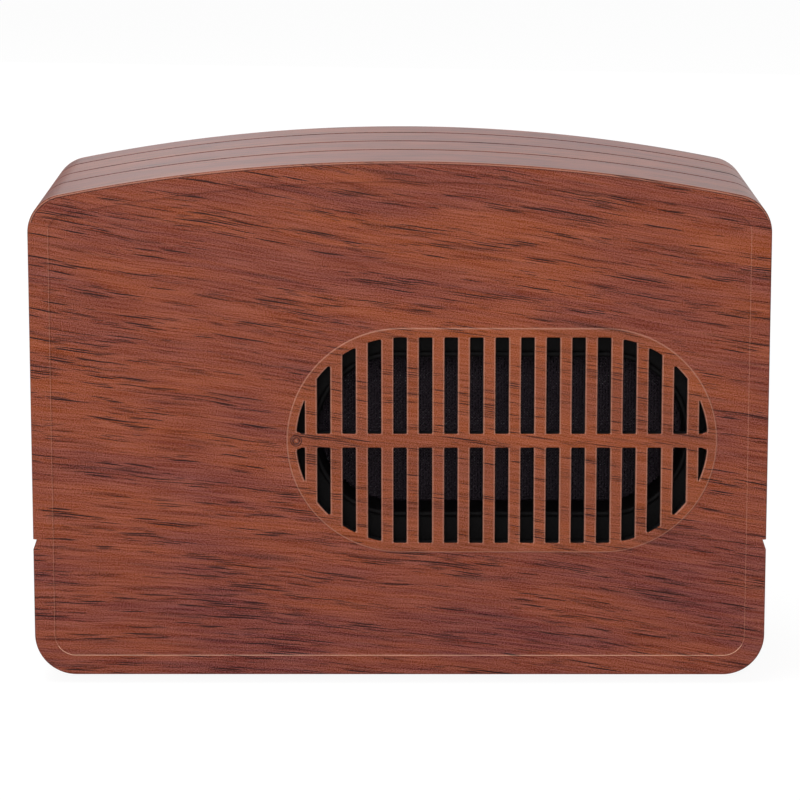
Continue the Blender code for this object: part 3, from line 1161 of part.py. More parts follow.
def build_control(name, up, knob_finish, body_finish, steel, body_steps):
    """A rotary control: the body behind the panel, a flatted spindle, and a knob with a grip across it."""
    axis = bpy.data.objects.new(f"{name}_axis", None)
    bpy.context.scene.collection.objects.link(axis)
    axis.parent = bpy.data.objects["case_datum"]
    axis.location = (PANEL_X, PANEL_FLOOR_Y, PANEL_BOTTOM + up)
    axis.rotation_euler = BACKWARD

    back = -PANEL_WALL - GAP
    bore = SPINDLE_RADIUS + SPINDLE_EASE
    deep = back - CONTROL_BORE
    case = turned(
        [
            (0, back - CONTROL_BODY),
            (CONTROL_RADIUS - CONTROL_CHAMFER, back - CONTROL_BODY),
            (CONTROL_RADIUS, back - CONTROL_BODY + CONTROL_CHAMFER),
            (CONTROL_RADIUS, back),
            (BUSH_RADIUS, back),
            (BUSH_RADIUS, 0),
            (bore, 0),
            (bore, deep),
            (0, deep),
        ],
        body_steps,
    )
    body = add(f"{name}_body", case, body_finish, axis.location, BACKWARD)
    blades = bmesh.new()
    for side in (-1, 1):
        outline = box_outline(side * CONTROL_RADIUS / 2, 0, TAB_THICKNESS, TAB_WIDTH)
        low = back - CONTROL_BODY
        prism(outline, low - CONTROL_TERMINAL, low + CONTROL_TERMINAL_ROOT, "z", blades)
    combine(body, blades, "UNION", axis.location, BACKWARD)

    flat = arc(0, 0, SPINDLE_RADIUS, math.radians(-50), math.radians(230), 14)
    spindle = prism(flat, deep + GAP, KNOB_BORE - GAP, "z")
    add(f"{name}_spindle", spindle, steel, parent=axis)

    base = KNOB_LIFT
    top = base + KNOB_HEIGHT
    face = top - KNOB_FACE_DROP
    skirt = [
        (0, base),
        (KNOB_RADIUS, base),
        (KNOB_RADIUS, base + KNOB_RIM_HEIGHT),
        (KNOB_RADIUS - KNOB_SKIRT_TAPER, face - KNOB_CHAMFER),
        (KNOB_RADIUS - KNOB_SKIRT_TAPER - KNOB_CHAMFER, face),
        (0, face),
    ]
    knob = add(f"{name}_knob", turned(skirt, 18), knob_finish, parent=axis)
    grip = rounded(2 * (KNOB_RADIUS - KNOB_GRIP_INSET), KNOB_GRIP, KNOB_GRIP / 2, steps=3)
    drop, run = KNOB_GRIP_CHAMFER
    rings = [(face - OVERRUN, 0), (top - drop, KNOB_GRIP_TAPER), (top, KNOB_GRIP_TAPER + run)]
    ridge = loft([[(x, z, height) for x, z in points_of(grip, inset)] for height, inset in rings])
    combine(knob, ridge, "UNION")
    hole = turned([(SPINDLE_RADIUS + GAP, base - OVERRUN), (SPINDLE_RADIUS + GAP, KNOB_BORE)], 12)
    combine(knob, hole, "DIFFERENCE")


def build_lamp(red):
    """Pilot lamp: a domed lens through the panel, with its neon behind in the same body."""
    back = -PANEL_WALL - LENS_BODY
    flange = LENS_RADIUS + LENS_FLANGE
    profile = [(0, back), (LENS_RADIUS, back), (LENS_RADIUS, GAP), (flange, GAP)]
    profile += [(flange, LENS_EDGE), (LENS_RADIUS * 0.8, LENS_DOME - LENS_SHOULDER)]
    profile += [(LENS_RADIUS * 0.4, LENS_DOME - LENS_CROWN), (0, LENS_DOME)]
    add("pilot_lens", turned(profile, 14), red, (PANEL_X, PANEL_FLOOR_Y, PANEL_BOTTOM + LAMP_UP), BACKWARD)


def build_gland(rubber):
    """Flanged bush where the supply lead enters, clipped through the floor of the panel."""
    inner = -PANEL_WALL - GAP
    profile = [
        (GLAND_BORE, inner - GLAND_TAIL),
        (GLAND_RADIUS - GLAND_TAPER, inner - GLAND_TAIL),
        (GLAND_RADIUS + GLAND_BARB, inner - GLAND_BARB_LENGTH),
        (GLAND_RADIUS + GLAND_BARB, inner),
        (GLAND_RADIUS, inner),
        (GLAND_RADIUS, GAP),
        (GLAND_FLANGE, GAP),
        (GLAND_FLANGE, GLAND_RIM),
        (GLAND_RADIUS, GLAND_TOP),
        (GLAND_BORE, GLAND_TOP),
    ]
    at = (PANEL_X, PANEL_FLOOR_Y, PANEL_BOTTOM + GLAND_UP)
    add("cord_gland", turned(profile, 12, closed=True), rubber, at, BACKWARD)


def build_tip_switch(nylon, red):
    """Tip-over switch on the floor of the case; its plunger is held up while the heater stands."""
    base = WALL + GAP
    block = rounded(TIP_WIDTH, TIP_DEPTH, TIP_CORNER, PANEL_X, TIP_Y, 2)
    switch = add("tip_switch", prism(points_of(block), base, base + TIP_HEIGHT, "z"), nylon)
    chamber_top = PLUNGER_TOP + TIP_HEADROOM
    bore = circle(PANEL_X, TIP_Y, PLUNGER_COLLAR + 2 * GAP, 12)
    chamber = prism(bore, base - OVERRUN, chamber_top, "z")
    combine(switch, chamber, "DIFFERENCE")
    collar = WALL + GAP + PLUNGER_TRAVEL + PLUNGER_SPARE
    profile = [
        (0, -FOOT_HEIGHT),
        (PLUNGER_RADIUS - PLUNGER_CHAMFER, -FOOT_HEIGHT),
        (PLUNGER_RADIUS, PLUNGER_CHAMFER - FOOT_HEIGHT),
        (PLUNGER_RADIUS, collar),
        (PLUNGER_COLLAR, collar),
        (PLUNGER_COLLAR, collar + PLUNGER_COLLAR_HEIGHT),
        (PLUNGER_RADIUS - PLUNGER_CHAMFER, collar + PLUNGER_COLLAR_HEIGHT),
        (PLUNGER_RADIUS - PLUNGER_CHAMFER, PLUNGER_TOP),
        (0, PLUNGER_TOP),
    ]
    add("tip_plunger", turned(profile, 12), red, (PANEL_X, TIP_Y, 0))


def main():
    for thing in list(bpy.data.objects):
        bpy.data.objects.remove(thing)

    datum = bpy.data.objects.new("case_datum", None)
    bpy.context.scene.collection.objects.link(datum)
    datum.location = (0, -CASE_DEPTH / 2, FOOT_HEIGHT)
    fan_axis = bpy.data.objects.new("fan_axis", None)
    bpy.context.scene.collection.objects.link(fan_axis)
    fan_axis.parent = datum
    fan_axis.location = (GRILLE_X, FAN_Y, FAN_Z)
    fan_axis.rotation_euler = SIDEWAYS

    film = paint("wood_film", 0.26, 0.075, 0.035, 0.35)
    black = paint("black_abs", 0.012, 0.012, 0.014, 0.45)
    knob_black = paint("knob_black", 0.02, 0.02, 0.022, 0.35)
    rubber = paint("rubber", 0.02, 0.02, 0.02, 0.8)
    steel = paint("zinc_steel", 0.55, 0.55, 0.56, 0.35, 1.0)
    phenolic = paint("phenolic", 0.03, 0.028, 0.027, 0.6)
    aluminium = paint("aluminium", 0.75, 0.76, 0.78, 0.4, 1.0)
    brass = paint("brass", 0.7, 0.5, 0.2, 0.35, 1.0)
    lamination = paint("lamination", 0.3, 0.3, 0.32, 0.5, 1.0)
    copper = paint("copper", 0.75, 0.32, 0.16, 0.35, 1.0)
    nylon = paint("nylon", 0.75, 0.73, 0.68, 0.5)
    bronze = paint("bronze", 0.5, 0.3, 0.12, 0.45, 1.0)
    red = paint("red_lens", 0.7, 0.04, 0.02, 0.15)

    build_front_shell(film)
    build_centre_shell(film)
    build_rear_shell(film)
    build_intake_grille(black)
    build_control_panel(black)
    build_feet(rubber)
    build_case_screws(steel)
    build_outlet_duct(black)
    build_guard(black)
    build_heater_frame(phenolic)
    build_element(aluminium, brass)
    build_thermal_cutout(phenolic)
    build_blower_housing(steel)
    build_air_screws(steel)
    build_impeller(black, fan_axis)
    build_motor(lamination, copper, nylon, steel, bronze, fan_axis)
    build_end_bearing(rubber)
    build_control("thermostat", THERMOSTAT_UP, knob_black, phenolic, steel, 14)
    build_control("selector", SELECTOR_UP, knob_black, phenolic, steel, 8)
    build_lamp(red)
    build_gland(rubber)
    build_tip_switch(nylon, red)


main()
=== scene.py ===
# Looks of a ceramic space heater: printed wood-grain shells, black air path, rear controls and the works inside.
# Everything is in metres in the part's own frame: x to the right of the outlet, y to the rear, z up.
import json
import math

import bpy
import bmesh
import numpy as np
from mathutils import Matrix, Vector, geometry

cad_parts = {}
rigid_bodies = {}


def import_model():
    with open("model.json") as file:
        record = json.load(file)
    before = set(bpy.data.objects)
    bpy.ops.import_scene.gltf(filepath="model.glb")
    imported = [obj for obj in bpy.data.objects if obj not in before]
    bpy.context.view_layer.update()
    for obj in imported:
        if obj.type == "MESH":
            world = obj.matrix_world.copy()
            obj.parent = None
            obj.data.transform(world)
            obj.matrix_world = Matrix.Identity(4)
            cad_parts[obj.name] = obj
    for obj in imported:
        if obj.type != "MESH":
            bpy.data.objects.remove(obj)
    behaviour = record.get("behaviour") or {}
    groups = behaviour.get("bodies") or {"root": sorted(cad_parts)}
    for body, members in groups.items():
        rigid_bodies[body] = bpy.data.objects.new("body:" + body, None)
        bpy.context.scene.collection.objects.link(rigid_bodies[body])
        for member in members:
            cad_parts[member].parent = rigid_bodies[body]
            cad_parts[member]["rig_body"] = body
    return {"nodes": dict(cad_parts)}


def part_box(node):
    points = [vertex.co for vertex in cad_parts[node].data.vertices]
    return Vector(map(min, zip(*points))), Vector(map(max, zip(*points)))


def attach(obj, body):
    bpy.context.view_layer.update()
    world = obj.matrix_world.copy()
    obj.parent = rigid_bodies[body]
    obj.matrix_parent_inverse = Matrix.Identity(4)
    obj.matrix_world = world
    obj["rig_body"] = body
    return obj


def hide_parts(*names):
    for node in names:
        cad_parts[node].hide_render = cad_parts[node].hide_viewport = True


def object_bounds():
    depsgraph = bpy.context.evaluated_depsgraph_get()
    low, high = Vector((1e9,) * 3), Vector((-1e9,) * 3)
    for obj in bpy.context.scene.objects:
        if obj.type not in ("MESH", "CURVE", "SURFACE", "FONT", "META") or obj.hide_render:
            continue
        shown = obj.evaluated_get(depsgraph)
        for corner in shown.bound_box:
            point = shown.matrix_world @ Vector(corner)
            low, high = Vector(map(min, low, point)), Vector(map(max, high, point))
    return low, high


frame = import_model()
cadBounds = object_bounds()
mm = 0.001
chain = np.concatenate


def linear(hexColour):
    # an sRGB hex value as linear red, green, blue and alpha
    channels = np.array([int(hexColour[i:i + 2], 16) / 255 for i in (0, 2, 4)])
    return (*np.where(channels <= 0.04045, channels / 12.92, ((channels + 0.055) / 1.055) ** 2.4), 1.0)


def feed(tree, node, inputs):
    # an input that is a socket is linked, and any other is its value
    for name, value in inputs.items() if isinstance(inputs, dict) else enumerate(inputs):
        if isinstance(value, bpy.types.NodeSocket):
            tree.links.new(value, node.inputs[name])
        else:
            node.inputs[name].default_value = value


def put(tree, kind, inputs=(), out=0, **settings):
    # adds a node and gives back one of its outputs
    node = tree.nodes.new("ShaderNode" + kind)
    for name, value in settings.items():
        setattr(node, name, value)
    feed(tree, node, inputs)
    return node.outputs[out]


def maths(tree, operation, *inputs):
    return put(tree, "Math", inputs, operation=operation)


def remap(tree, value, *ends, **settings):
    # the range between the first two ends becomes the range between the last two
    return put(tree, "MapRange", (value, *ends), **settings)


def noise(tree, where, scale, detail=2.0, dimensions="3D"):
    return put(tree, "TexNoise", {"Vector": where, "Scale": scale, "Detail": detail}, noise_dimensions=dimensions)


def chance(tree, value):
    # white noise, one value for each whole number
    return put(tree, "TexWhiteNoise", {"W": maths(tree, "FLOOR", value)}, noise_dimensions="1D")


def blend(tree, share, *colours):
    # between two colours, each a socket or a hex value
    first, second = [linear(colour) if isinstance(colour, str) else colour for colour in colours]
    return put(tree, "Mix", {0: share, 6: first, 7: second}, 2, data_type="RGBA")


def scaled(tree, colour, by):
    return put(tree, "VectorMath", {0: colour, "Scale": by}, operation="SCALE")


def bump(tree, height, strength, distance):
    return put(tree, "Bump", {"Height": height, "Strength": strength, "Distance": distance * mm})


def own(tree):
    return put(tree, "TexCoord", out="Object")


def finish(name, look, *values):
    # a material; its look gives the shader's inputs
    made = bpy.data.materials.new(name)
    made.use_nodes = True
    tree = made.node_tree
    feed(tree, tree.nodes["Principled BSDF"], look(tree, *values))
    return made


def stand(name, data):
    thing = bpy.data.objects.new(name, data)
    bpy.context.scene.collection.objects.link(thing)
    return thing


def middle(node):
    low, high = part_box(node)
    return (low + high) / 2


# Outlines are closed loops of (x, z), counter-clockwise, and profiles are rows of (y, inset) or (radius, height).


def columns(*values):
    # coordinates side by side, from arrays and single numbers alike
    return np.stack(np.broadcast_arrays(*values), -1)


def rounded(corners, radii, steps=4, closed=True):
    # Each corner becomes the arc tangent to its two sides: the rational quadratic curve whose middle control
    # point is the corner, whose ends lie radius * tan(turn / 2) away, and whose middle weight is cos(turn / 2).
    corners = np.asarray(corners, float)
    radii = np.broadcast_to(np.asarray(radii, float), len(corners)).copy()
    if not closed:
        radii[[0, -1]] = 0
    before = corners - np.roll(corners, 1, 0)
    after = np.roll(corners, -1, 0) - corners
    before /= np.linalg.norm(before, axis=1, keepdims=True)
    after /= np.linalg.norm(after, axis=1, keepdims=True)
    turn = np.arccos(np.clip((before * after).sum(1), -1, 1))
    radii[turn > 3] = 0
    reach = (radii * np.tan(turn / 2 * (radii > 0)))[:, None, None]
    weight = np.cos(turn / 2)[:, None, None]
    s = np.linspace(0, 1, steps + 1)[None, :, None]
    a, b, c = (1 - s) ** 2, 2 * weight * s * (1 - s), s**2
    start, end = corners[:, None] - before[:, None] * reach, corners[:, None] + after[:, None] * reach
    curve = (a * start + b * corners[:, None] + c * end) / (a + b + c)
    curve[radii == 0] = corners[radii == 0, None]
    points = curve.reshape(-1, 2)
    apart = np.linalg.norm(points - np.roll(points, 1, 0), axis=1) > 1e-7
    apart[0] = apart[0] or not closed
    return points[apart]


def arc(cx, cz, radius, start, end, count):
    turn = np.linspace(start, end, count)
    return columns(cx + radius * np.cos(turn), cz + radius * np.sin(turn))


def circle(cx, cz, radius, count=32):
    return arc(cx, cz, radius, 0, 2 * math.pi * (1 - 1 / count), count)


def stadium(cx, cz, length, height, count=32):
    radius, reach = height / 2, (length - height) / 2
    right = arc(cx + reach, cz, radius, -math.pi / 2, math.pi / 2, count)
    return chain([right, arc(cx - reach, cz, radius, math.pi / 2, 3 * math.pi / 2, count)])


def roundedBox(cx, cz, length, height, radius, steps=12):
    x, z = length / 2, height / 2
    return rounded([(cx - x, cz - z), (cx + x, cz - z), (cx + x, cz + z), (cx - x, cz + z)], radius, steps)


def lipRows(y, into, edge, count=5):
    # the quarter round of an opening's edge: it starts on the level face at y, and into is which way the hole goes
    turn = np.linspace(0, math.pi / 2, count)
    return columns(y + into * edge * (1 - np.cos(turn)), -edge * (1 - np.sin(turn)))


def outwards(points):
    # unit normals of an outline, square to the chord between each point's two neighbours
    chord = np.roll(points, -1, 0) - np.roll(points, 1, 0)
    chord /= np.linalg.norm(chord, axis=1, keepdims=True)
    return columns(chord[:, 1], -chord[:, 0])


def spread(points, by):
    return points + outwards(points) * by


def facingUp(points):
    # the outline, turned counter-clockwise if its signed area is negative
    after = np.roll(points, -1, 0)
    area = np.sum(points[:, 0] * after[:, 1] - points[:, 1] * after[:, 0])
    return points if area > 0 else points[::-1]


def inside(points, loop):
    # even-odd rule: counts the sides of the loop that a ray to the right crosses
    a, b = loop, np.roll(loop, -1, 0)
    x, z = points[:, :1], points[:, 1:]
    across = (a[:, 1] > z) != (b[:, 1] > z)
    slope = (b[:, 0] - a[:, 0]) / np.where(b[:, 1] == a[:, 1], 1, b[:, 1] - a[:, 1])
    return (across & (x < a[:, 0] + (z - a[:, 1]) * slope)).sum(1) % 2 == 1


# A surface is its points, its faces, the finish it wears and, where it has grain, the grain's coordinates.


def skin(points, wrap=True, uv=None, slot=0):
    # rows and columns of points are the surface's two parameters; wrap joins the last column to the first
    rows, across = points.shape[:2]
    index = np.arange(rows * across).reshape(rows, across)
    if wrap:
        index = chain([index, index[:, :1]], 1)
    faces = np.stack([index[:-1, :-1], index[:-1, 1:], index[1:, 1:], index[1:, :-1]], 2).reshape(-1, 4)
    if uv is not None:
        uv = uv[:, :across + wrap]
        uv = np.stack([uv[:-1, :-1], uv[:-1, 1:], uv[1:, 1:], uv[1:, :-1]], 2).reshape(-1, 4, 2)
    return {"points": points.reshape(-1, 3), "faces": faces, "uv": uv, "slot": slot}


def turnTo(axis, surface):
    # a surface laid out along y is turned so that its y runs along the named axis
    order = {"x": [1, 0, 2], "y": [0, 1, 2], "z": [0, 2, 1]}[axis]
    return {**surface, "points": surface["points"][:, order]}


def moved(surface, by):
    return {**surface, "points": surface["points"] + np.asarray(by, float)}


def level(y, outline, holes=(), slot=0, uv=None):
    # the level region inside an outline and outside its holes, filled by a constrained triangulation
    loops = [np.asarray(outline)] + [np.asarray(hole) for hole in holes]
    counts = [len(loop) for loop in loops]
    first = chain([[0], np.cumsum(counts)[:-1]])
    edges = [(int(s + i), int(s + (i + 1) % n)) for s, n in zip(first, counts) for i in range(n)]
    found = geometry.delaunay_2d_cdt([Vector(p) for p in chain(loops)], edges, [], 0, 1e-9)
    flat = np.array([tuple(p) for p in found[0]])
    faces = np.array(found[2])
    centres = flat[faces].mean(1)
    keep = inside(centres, loops[0])
    for hole in loops[1:]:
        keep &= ~inside(centres, hole)
    faces = faces[keep]
    points = columns(flat[:, 0], y, flat[:, 1])
    return {"points": points, "faces": faces, "uv": None if uv is None else uv(flat)[faces], "slot": slot}


def sweep(outline, profile, slot=0, uv=None):
    # carries a profile of (y, inset) rows round an outline: point = outline - normal * inset, at depth y
    profile = np.asarray(profile, float)
    flat = outline[None] - outwards(outline)[None] * profile[:, 1, None, None]
    closed = chain([flat, flat[:, :1]], 1)
    return skin(columns(flat[..., 0], profile[:, :1], flat[..., 1]), True, uv and uv(closed), slot)


def turned(profile, count=48, ring=False, fluted=None):
    # Turns (radius, height) rows about y: (radius cos t, height, radius sin t). A ring's last row meets its first.
    profile = np.asarray(profile, float)
    if ring:
        profile = chain([profile, profile[:1]])
    turn = np.linspace(0, 2 * math.pi, count, endpoint=False)
    radius = profile[:, :1] if fluted is None else profile[:, :1] - fluted(profile[:, 1:], turn)
    return skin(columns(radius * np.cos(turn), profile[:, 1:], radius * np.sin(turn)))


def flutes(count, deep, low, high, softLow, softHigh):
    # shallow flutes between two heights, each dipping by deep * (1 - |cos(count * t / 2)|), soft at both ends
    def fluted(height, turn):
        share = np.clip((height - low) / softLow, 0, 1) * np.clip((high - height) / softHigh, 0, 1)
        return deep * share * (1 - np.abs(np.cos(count * turn / 2)))
    return fluted


def lathe(rows, radii, axis, at, count=48, ring=False, fluted=None, steps=4):
    # rows of (radius, height), their corners rounded, turned about the named axis through a point
    return moved(turnTo(axis, turned(rounded(rows, radii, steps, ring), count, ring, fluted)), at)


def make(name, surfaces, materials, replaces=None, body=None, sharp=40, merge=2e-6):
    # joins surfaces into one mesh, closes its seams, turns its faces outwards and shades it by angle
    counts = [len(s["points"]) for s in surfaces]
    starts = chain([[0], np.cumsum(counts)[:-1]])
    mesh = bpy.data.meshes.new(name)
    faces = [face for s, start in zip(surfaces, starts) for face in (s["faces"] + start).tolist()]
    mesh.from_pydata(chain([s["points"] for s in surfaces]).tolist(), [], faces)
    slots = chain([np.broadcast_to(s["slot"], len(s["faces"])) for s in surfaces]).astype(np.int32)
    mesh.polygons.foreach_set("material_index", slots)
    if any(s["uv"] is not None for s in surfaces):
        corners = [np.zeros((s["faces"].size, 2)) if s["uv"] is None else s["uv"].reshape(-1, 2) for s in surfaces]
        grain = mesh.uv_layers.new(name="grain")
        grain.data.foreach_set("uv", chain(corners).astype(np.float32).ravel())
    work = bmesh.new()
    work.from_mesh(mesh)
    bmesh.ops.remove_doubles(work, verts=work.verts, dist=merge)
    bmesh.ops.recalc_face_normals(work, faces=work.faces)
    work.to_mesh(mesh)
    work.free()
    for material in materials:
        mesh.materials.append(material)
    mesh.shade_smooth()
    mesh.set_sharp_from_angle(angle=math.radians(sharp))
    piece = stand(name, mesh)
    piece.modifiers.new("levelsStayLevel", "WEIGHTED_NORMAL").keep_sharp = True
    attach(piece, body or frame["nodes"][replaces]["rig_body"])
    if replaces:
        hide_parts(replaces)


# Camera, floor and light

camera = {
    "lens": 163.5,
    "sensor": 36,
    "near": 0.05,
    "far": 50,
    "distance": 1.2294,  # from the middle of the front face
    "pitch": math.radians(10.93),
    "aim": (0.03 * mm, 96.05 * mm),  # right of the middle, and above the underside of the case
    "roll": -0.0003,
}
studio = {
    "floor": 8.0,
    "ambient": 0.36,  # the world's light, against 1 for the white that it shows
    "glow": 0.93,  # how white the floor looks where nothing shades it
    "target": (0, 0, 0.09),  # where the lamps point
    "lamps": {
        # name: (place, size, power)
        "front": ((-0.25, -2.0, 0.75), 1.0, 9.1),
        "overhead": ((-0.3, -0.27, 1.5), 0.7, 8.8),
        "left": ((-1.5, -1.8, 0.6), 0.6, 7.0),
        "right": ((1.7, -1.6, 0.5), 0.6, 4.5),
        "behind": ((0.3, 1.9, 0.5), 1.5, 4.2),
        "behindHigh": ((-0.5, 1.5, 1.3), 0.8, 7.0),
    },
}
white = (1, 1, 1, 1)
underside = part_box("front_shell")[0].z
faceY, rearY = cadBounds[0][1], cadBounds[1][1]


def setCamera():
    data = bpy.data.cameras.new("camera")
    data.lens, data.sensor_width = camera["lens"], camera["sensor"]
    data.clip_start, data.clip_end = camera["near"], camera["far"]
    eye = stand("camera", data)
    back = Vector((0, -math.cos(camera["pitch"]), math.sin(camera["pitch"])))
    right, up = camera["aim"]
    eye.location = Vector((right, faceY, up + underside)) + back * camera["distance"]
    eye.rotation_euler = (math.pi / 2 - camera["pitch"], camera["roll"], 0)
    bpy.context.scene.camera = eye


def whereSeen(tree, lit, shown):
    # one shader as light, and the other where it is looked at, straight or through a lens
    path = put(tree, "LightPath").node.outputs
    seen = maths(tree, "MAXIMUM", path["Is Camera Ray"], path["Is Transmission Ray"])
    return put(tree, "MixShader", (seen, lit, shown))


def setWorld():
    # white wherever it is looked at, weaker as light
    world = bpy.data.worlds.new("softWhite")
    world.use_nodes = True
    bpy.context.scene.world = world
    tree = world.node_tree
    tree.nodes.clear()
    lit, shown = [put(tree, "Background", (white, strength)) for strength in (studio["ambient"], 1.0)]
    feed(tree, tree.nodes.new("ShaderNodeOutputWorld"), {"Surface": whereSeen(tree, lit, shown)})


def setFloor():
    # pale paper that keeps the shadow: seen, it is its own white plus a little of the light that falls on it
    half = studio["floor"] / 2
    mesh = bpy.data.meshes.new("floor")
    mesh.from_pydata([(-half, -half, 0), (half, -half, 0), (half, half, 0), (-half, half, 0)], [], [(0, 1, 2, 3)])
    floor = stand("floor", mesh)
    paper = finish("palePaper", lambda tree: {"Base Color": linear("d8d8d8"), "Roughness": 0.9})
    tree = paper.node_tree
    glow = put(tree, "Emission", (white, studio["glow"]))
    shown = put(tree, "AddShader", (glow, put(tree, "BsdfDiffuse", (linear("606060"),))))
    mixed = whereSeen(tree, tree.nodes["Principled BSDF"].outputs[0], shown)
    feed(tree, tree.nodes["Material Output"], {"Surface": mixed})
    mesh.materials.append(paper)


def setLights():
    for name, (place, across, power) in studio["lamps"].items():
        data = bpy.data.lights.new(name, "AREA")
        data.size, data.energy = across, power
        lamp = stand(name, data)
        lamp.location = place
        lamp.rotation_euler = (Vector(studio["target"]) - Vector(place)).to_track_quat("-Z", "Y").to_euler()


bpy.context.scene.view_settings.view_transform = "Standard"
setCamera()
setWorld()
setFloor()
setLights()
print("camera, floor and light are set")

# Finishes

wood = {
    "face": ("a25431", "66343b"),  # ground between the bands and in them
    "grille": ("a85834", "743f34"),  # a shade warmer on the bars
    "ledge": ("efc1a6", "d29e83"),  # painted highlight: palest, for the field's step that faces up
    "edge": ("b57a63", "9c6455"),  # painted highlight: paler, for rounded edges that catch the light
    "hollowShade": ("6e392b", "4a2723"),  # painted shade: deeper, for grooves, hollows and the strip under the crown's front edge
    "pore": "2a1416",
    "slopeLow": 0.105,  # how steeply the grain falls to the right, at the foot and at the top
    "slopeHigh": 0.168,
    "sag": 0.34,  # per metre: the lowest grain falls less at the left and more at the right
    "period": 0.25,  # the slope starts afresh at each period, so that it stays small behind
    "swell": (13.0, 3.0 * mm),  # waves of the grain: scale and height
    "ripple": (90.0, 0.6 * mm),
    "layers": {
        # name: length and height in mm, detail, place
        "band": (70, 15, 2.0, 3.1),
        "stripe": (60, 1.6, 3.0, 7.7),
        "fibre": (20, 0.42, 2.0, 1.3),
        "crowd": (60, 4.0, 3.0, 11.3),
        "smear": (34, 2.0, 1.0, 19.7),
    },
    "bandShare": (0.33, 0.67, 0.05, 0.33),  # noise from and to, and how much of the deep tone it gives
    "stripeShare": (0.28, 0.72, 0.06, 0.30),
    "footShadeShare": (0.01, 0.12, 0.16, 0.0),  # painted shade: more of the deep tone towards the foot, by height
    "smearShare": (0.60, 0.80),
    "smearDip": 0.36,
    "fuzz": 2600.0,  # scale of the print's finest grain
    "fibreTint": (0.062, 0.027, 0.023),
    "speckTint": (0.1, 0.04, 0.048),
    "crowding": (0.42, 0.64, 0.04, 0.9),  # noise from and to, and how many cells hold a pore
    "longPore": (34.0, 0.72, 3.0),  # cell length and height in mm, and place
    "shortPore": (15.0, 0.52, 17.0),
    "shortFewer": 0.9,
    "shortPaler": 0.7,
    "gloss": (0.30, 0.40),
}


def poreLayer(tree, along, across, cell, share):
    # Short dashes on staggered rows. In each cell of the row a dash may stand, with its own length, height,
    # place and darkness, all from white noise; share is how many cells have one. Its outline is a lens:
    # 1 - (along / half length)^2 - across / half height, above 0. It gives 0 to 1.
    length, high, place = cell
    v = maths(tree, "MULTIPLY_ADD", across, 1 / (high * mm), place)
    row = maths(tree, "FLOOR", v)
    stagger = chance(tree, v)
    u = maths(tree, "MULTIPLY_ADD", along, 1 / (length * mm), place)
    u = maths(tree, "MULTIPLY_ADD", stagger, 37.0, u)
    column = maths(tree, "FLOOR", u)
    where = put(tree, "CombineXYZ", (column, row))
    drawn = put(tree, "TexWhiteNoise", {"Vector": where}, noise_dimensions="2D").node.outputs
    lots = put(tree, "SeparateXYZ", (drawn["Color"],)).node.outputs
    fromMiddle = maths(tree, "ABSOLUTE", maths(tree, "SUBTRACT", maths(tree, "SUBTRACT", u, column), 0.5))
    ends = maths(tree, "DIVIDE", fromMiddle, remap(tree, lots[0], 0, 1, 0.15, 0.5))
    line = remap(tree, lots[1], 0, 1, 0.36, 0.64)
    fromLine = maths(tree, "ABSOLUTE", maths(tree, "SUBTRACT", maths(tree, "SUBTRACT", v, row), line))
    sides = maths(tree, "DIVIDE", fromLine, remap(tree, lots[2], 0, 1, 0.18, 0.42))
    dash = maths(tree, "SUBTRACT", maths(tree, "SUBTRACT", 1.0, maths(tree, "POWER", ends, 2.0)), sides)
    dark = remap(tree, maths(tree, "SUBTRACT", share, drawn["Value"]), 0.0, 0.14, 0.0, 1.0)
    return maths(tree, "MULTIPLY", remap(tree, dash, 0.0, 0.36, 0, 1), dark)


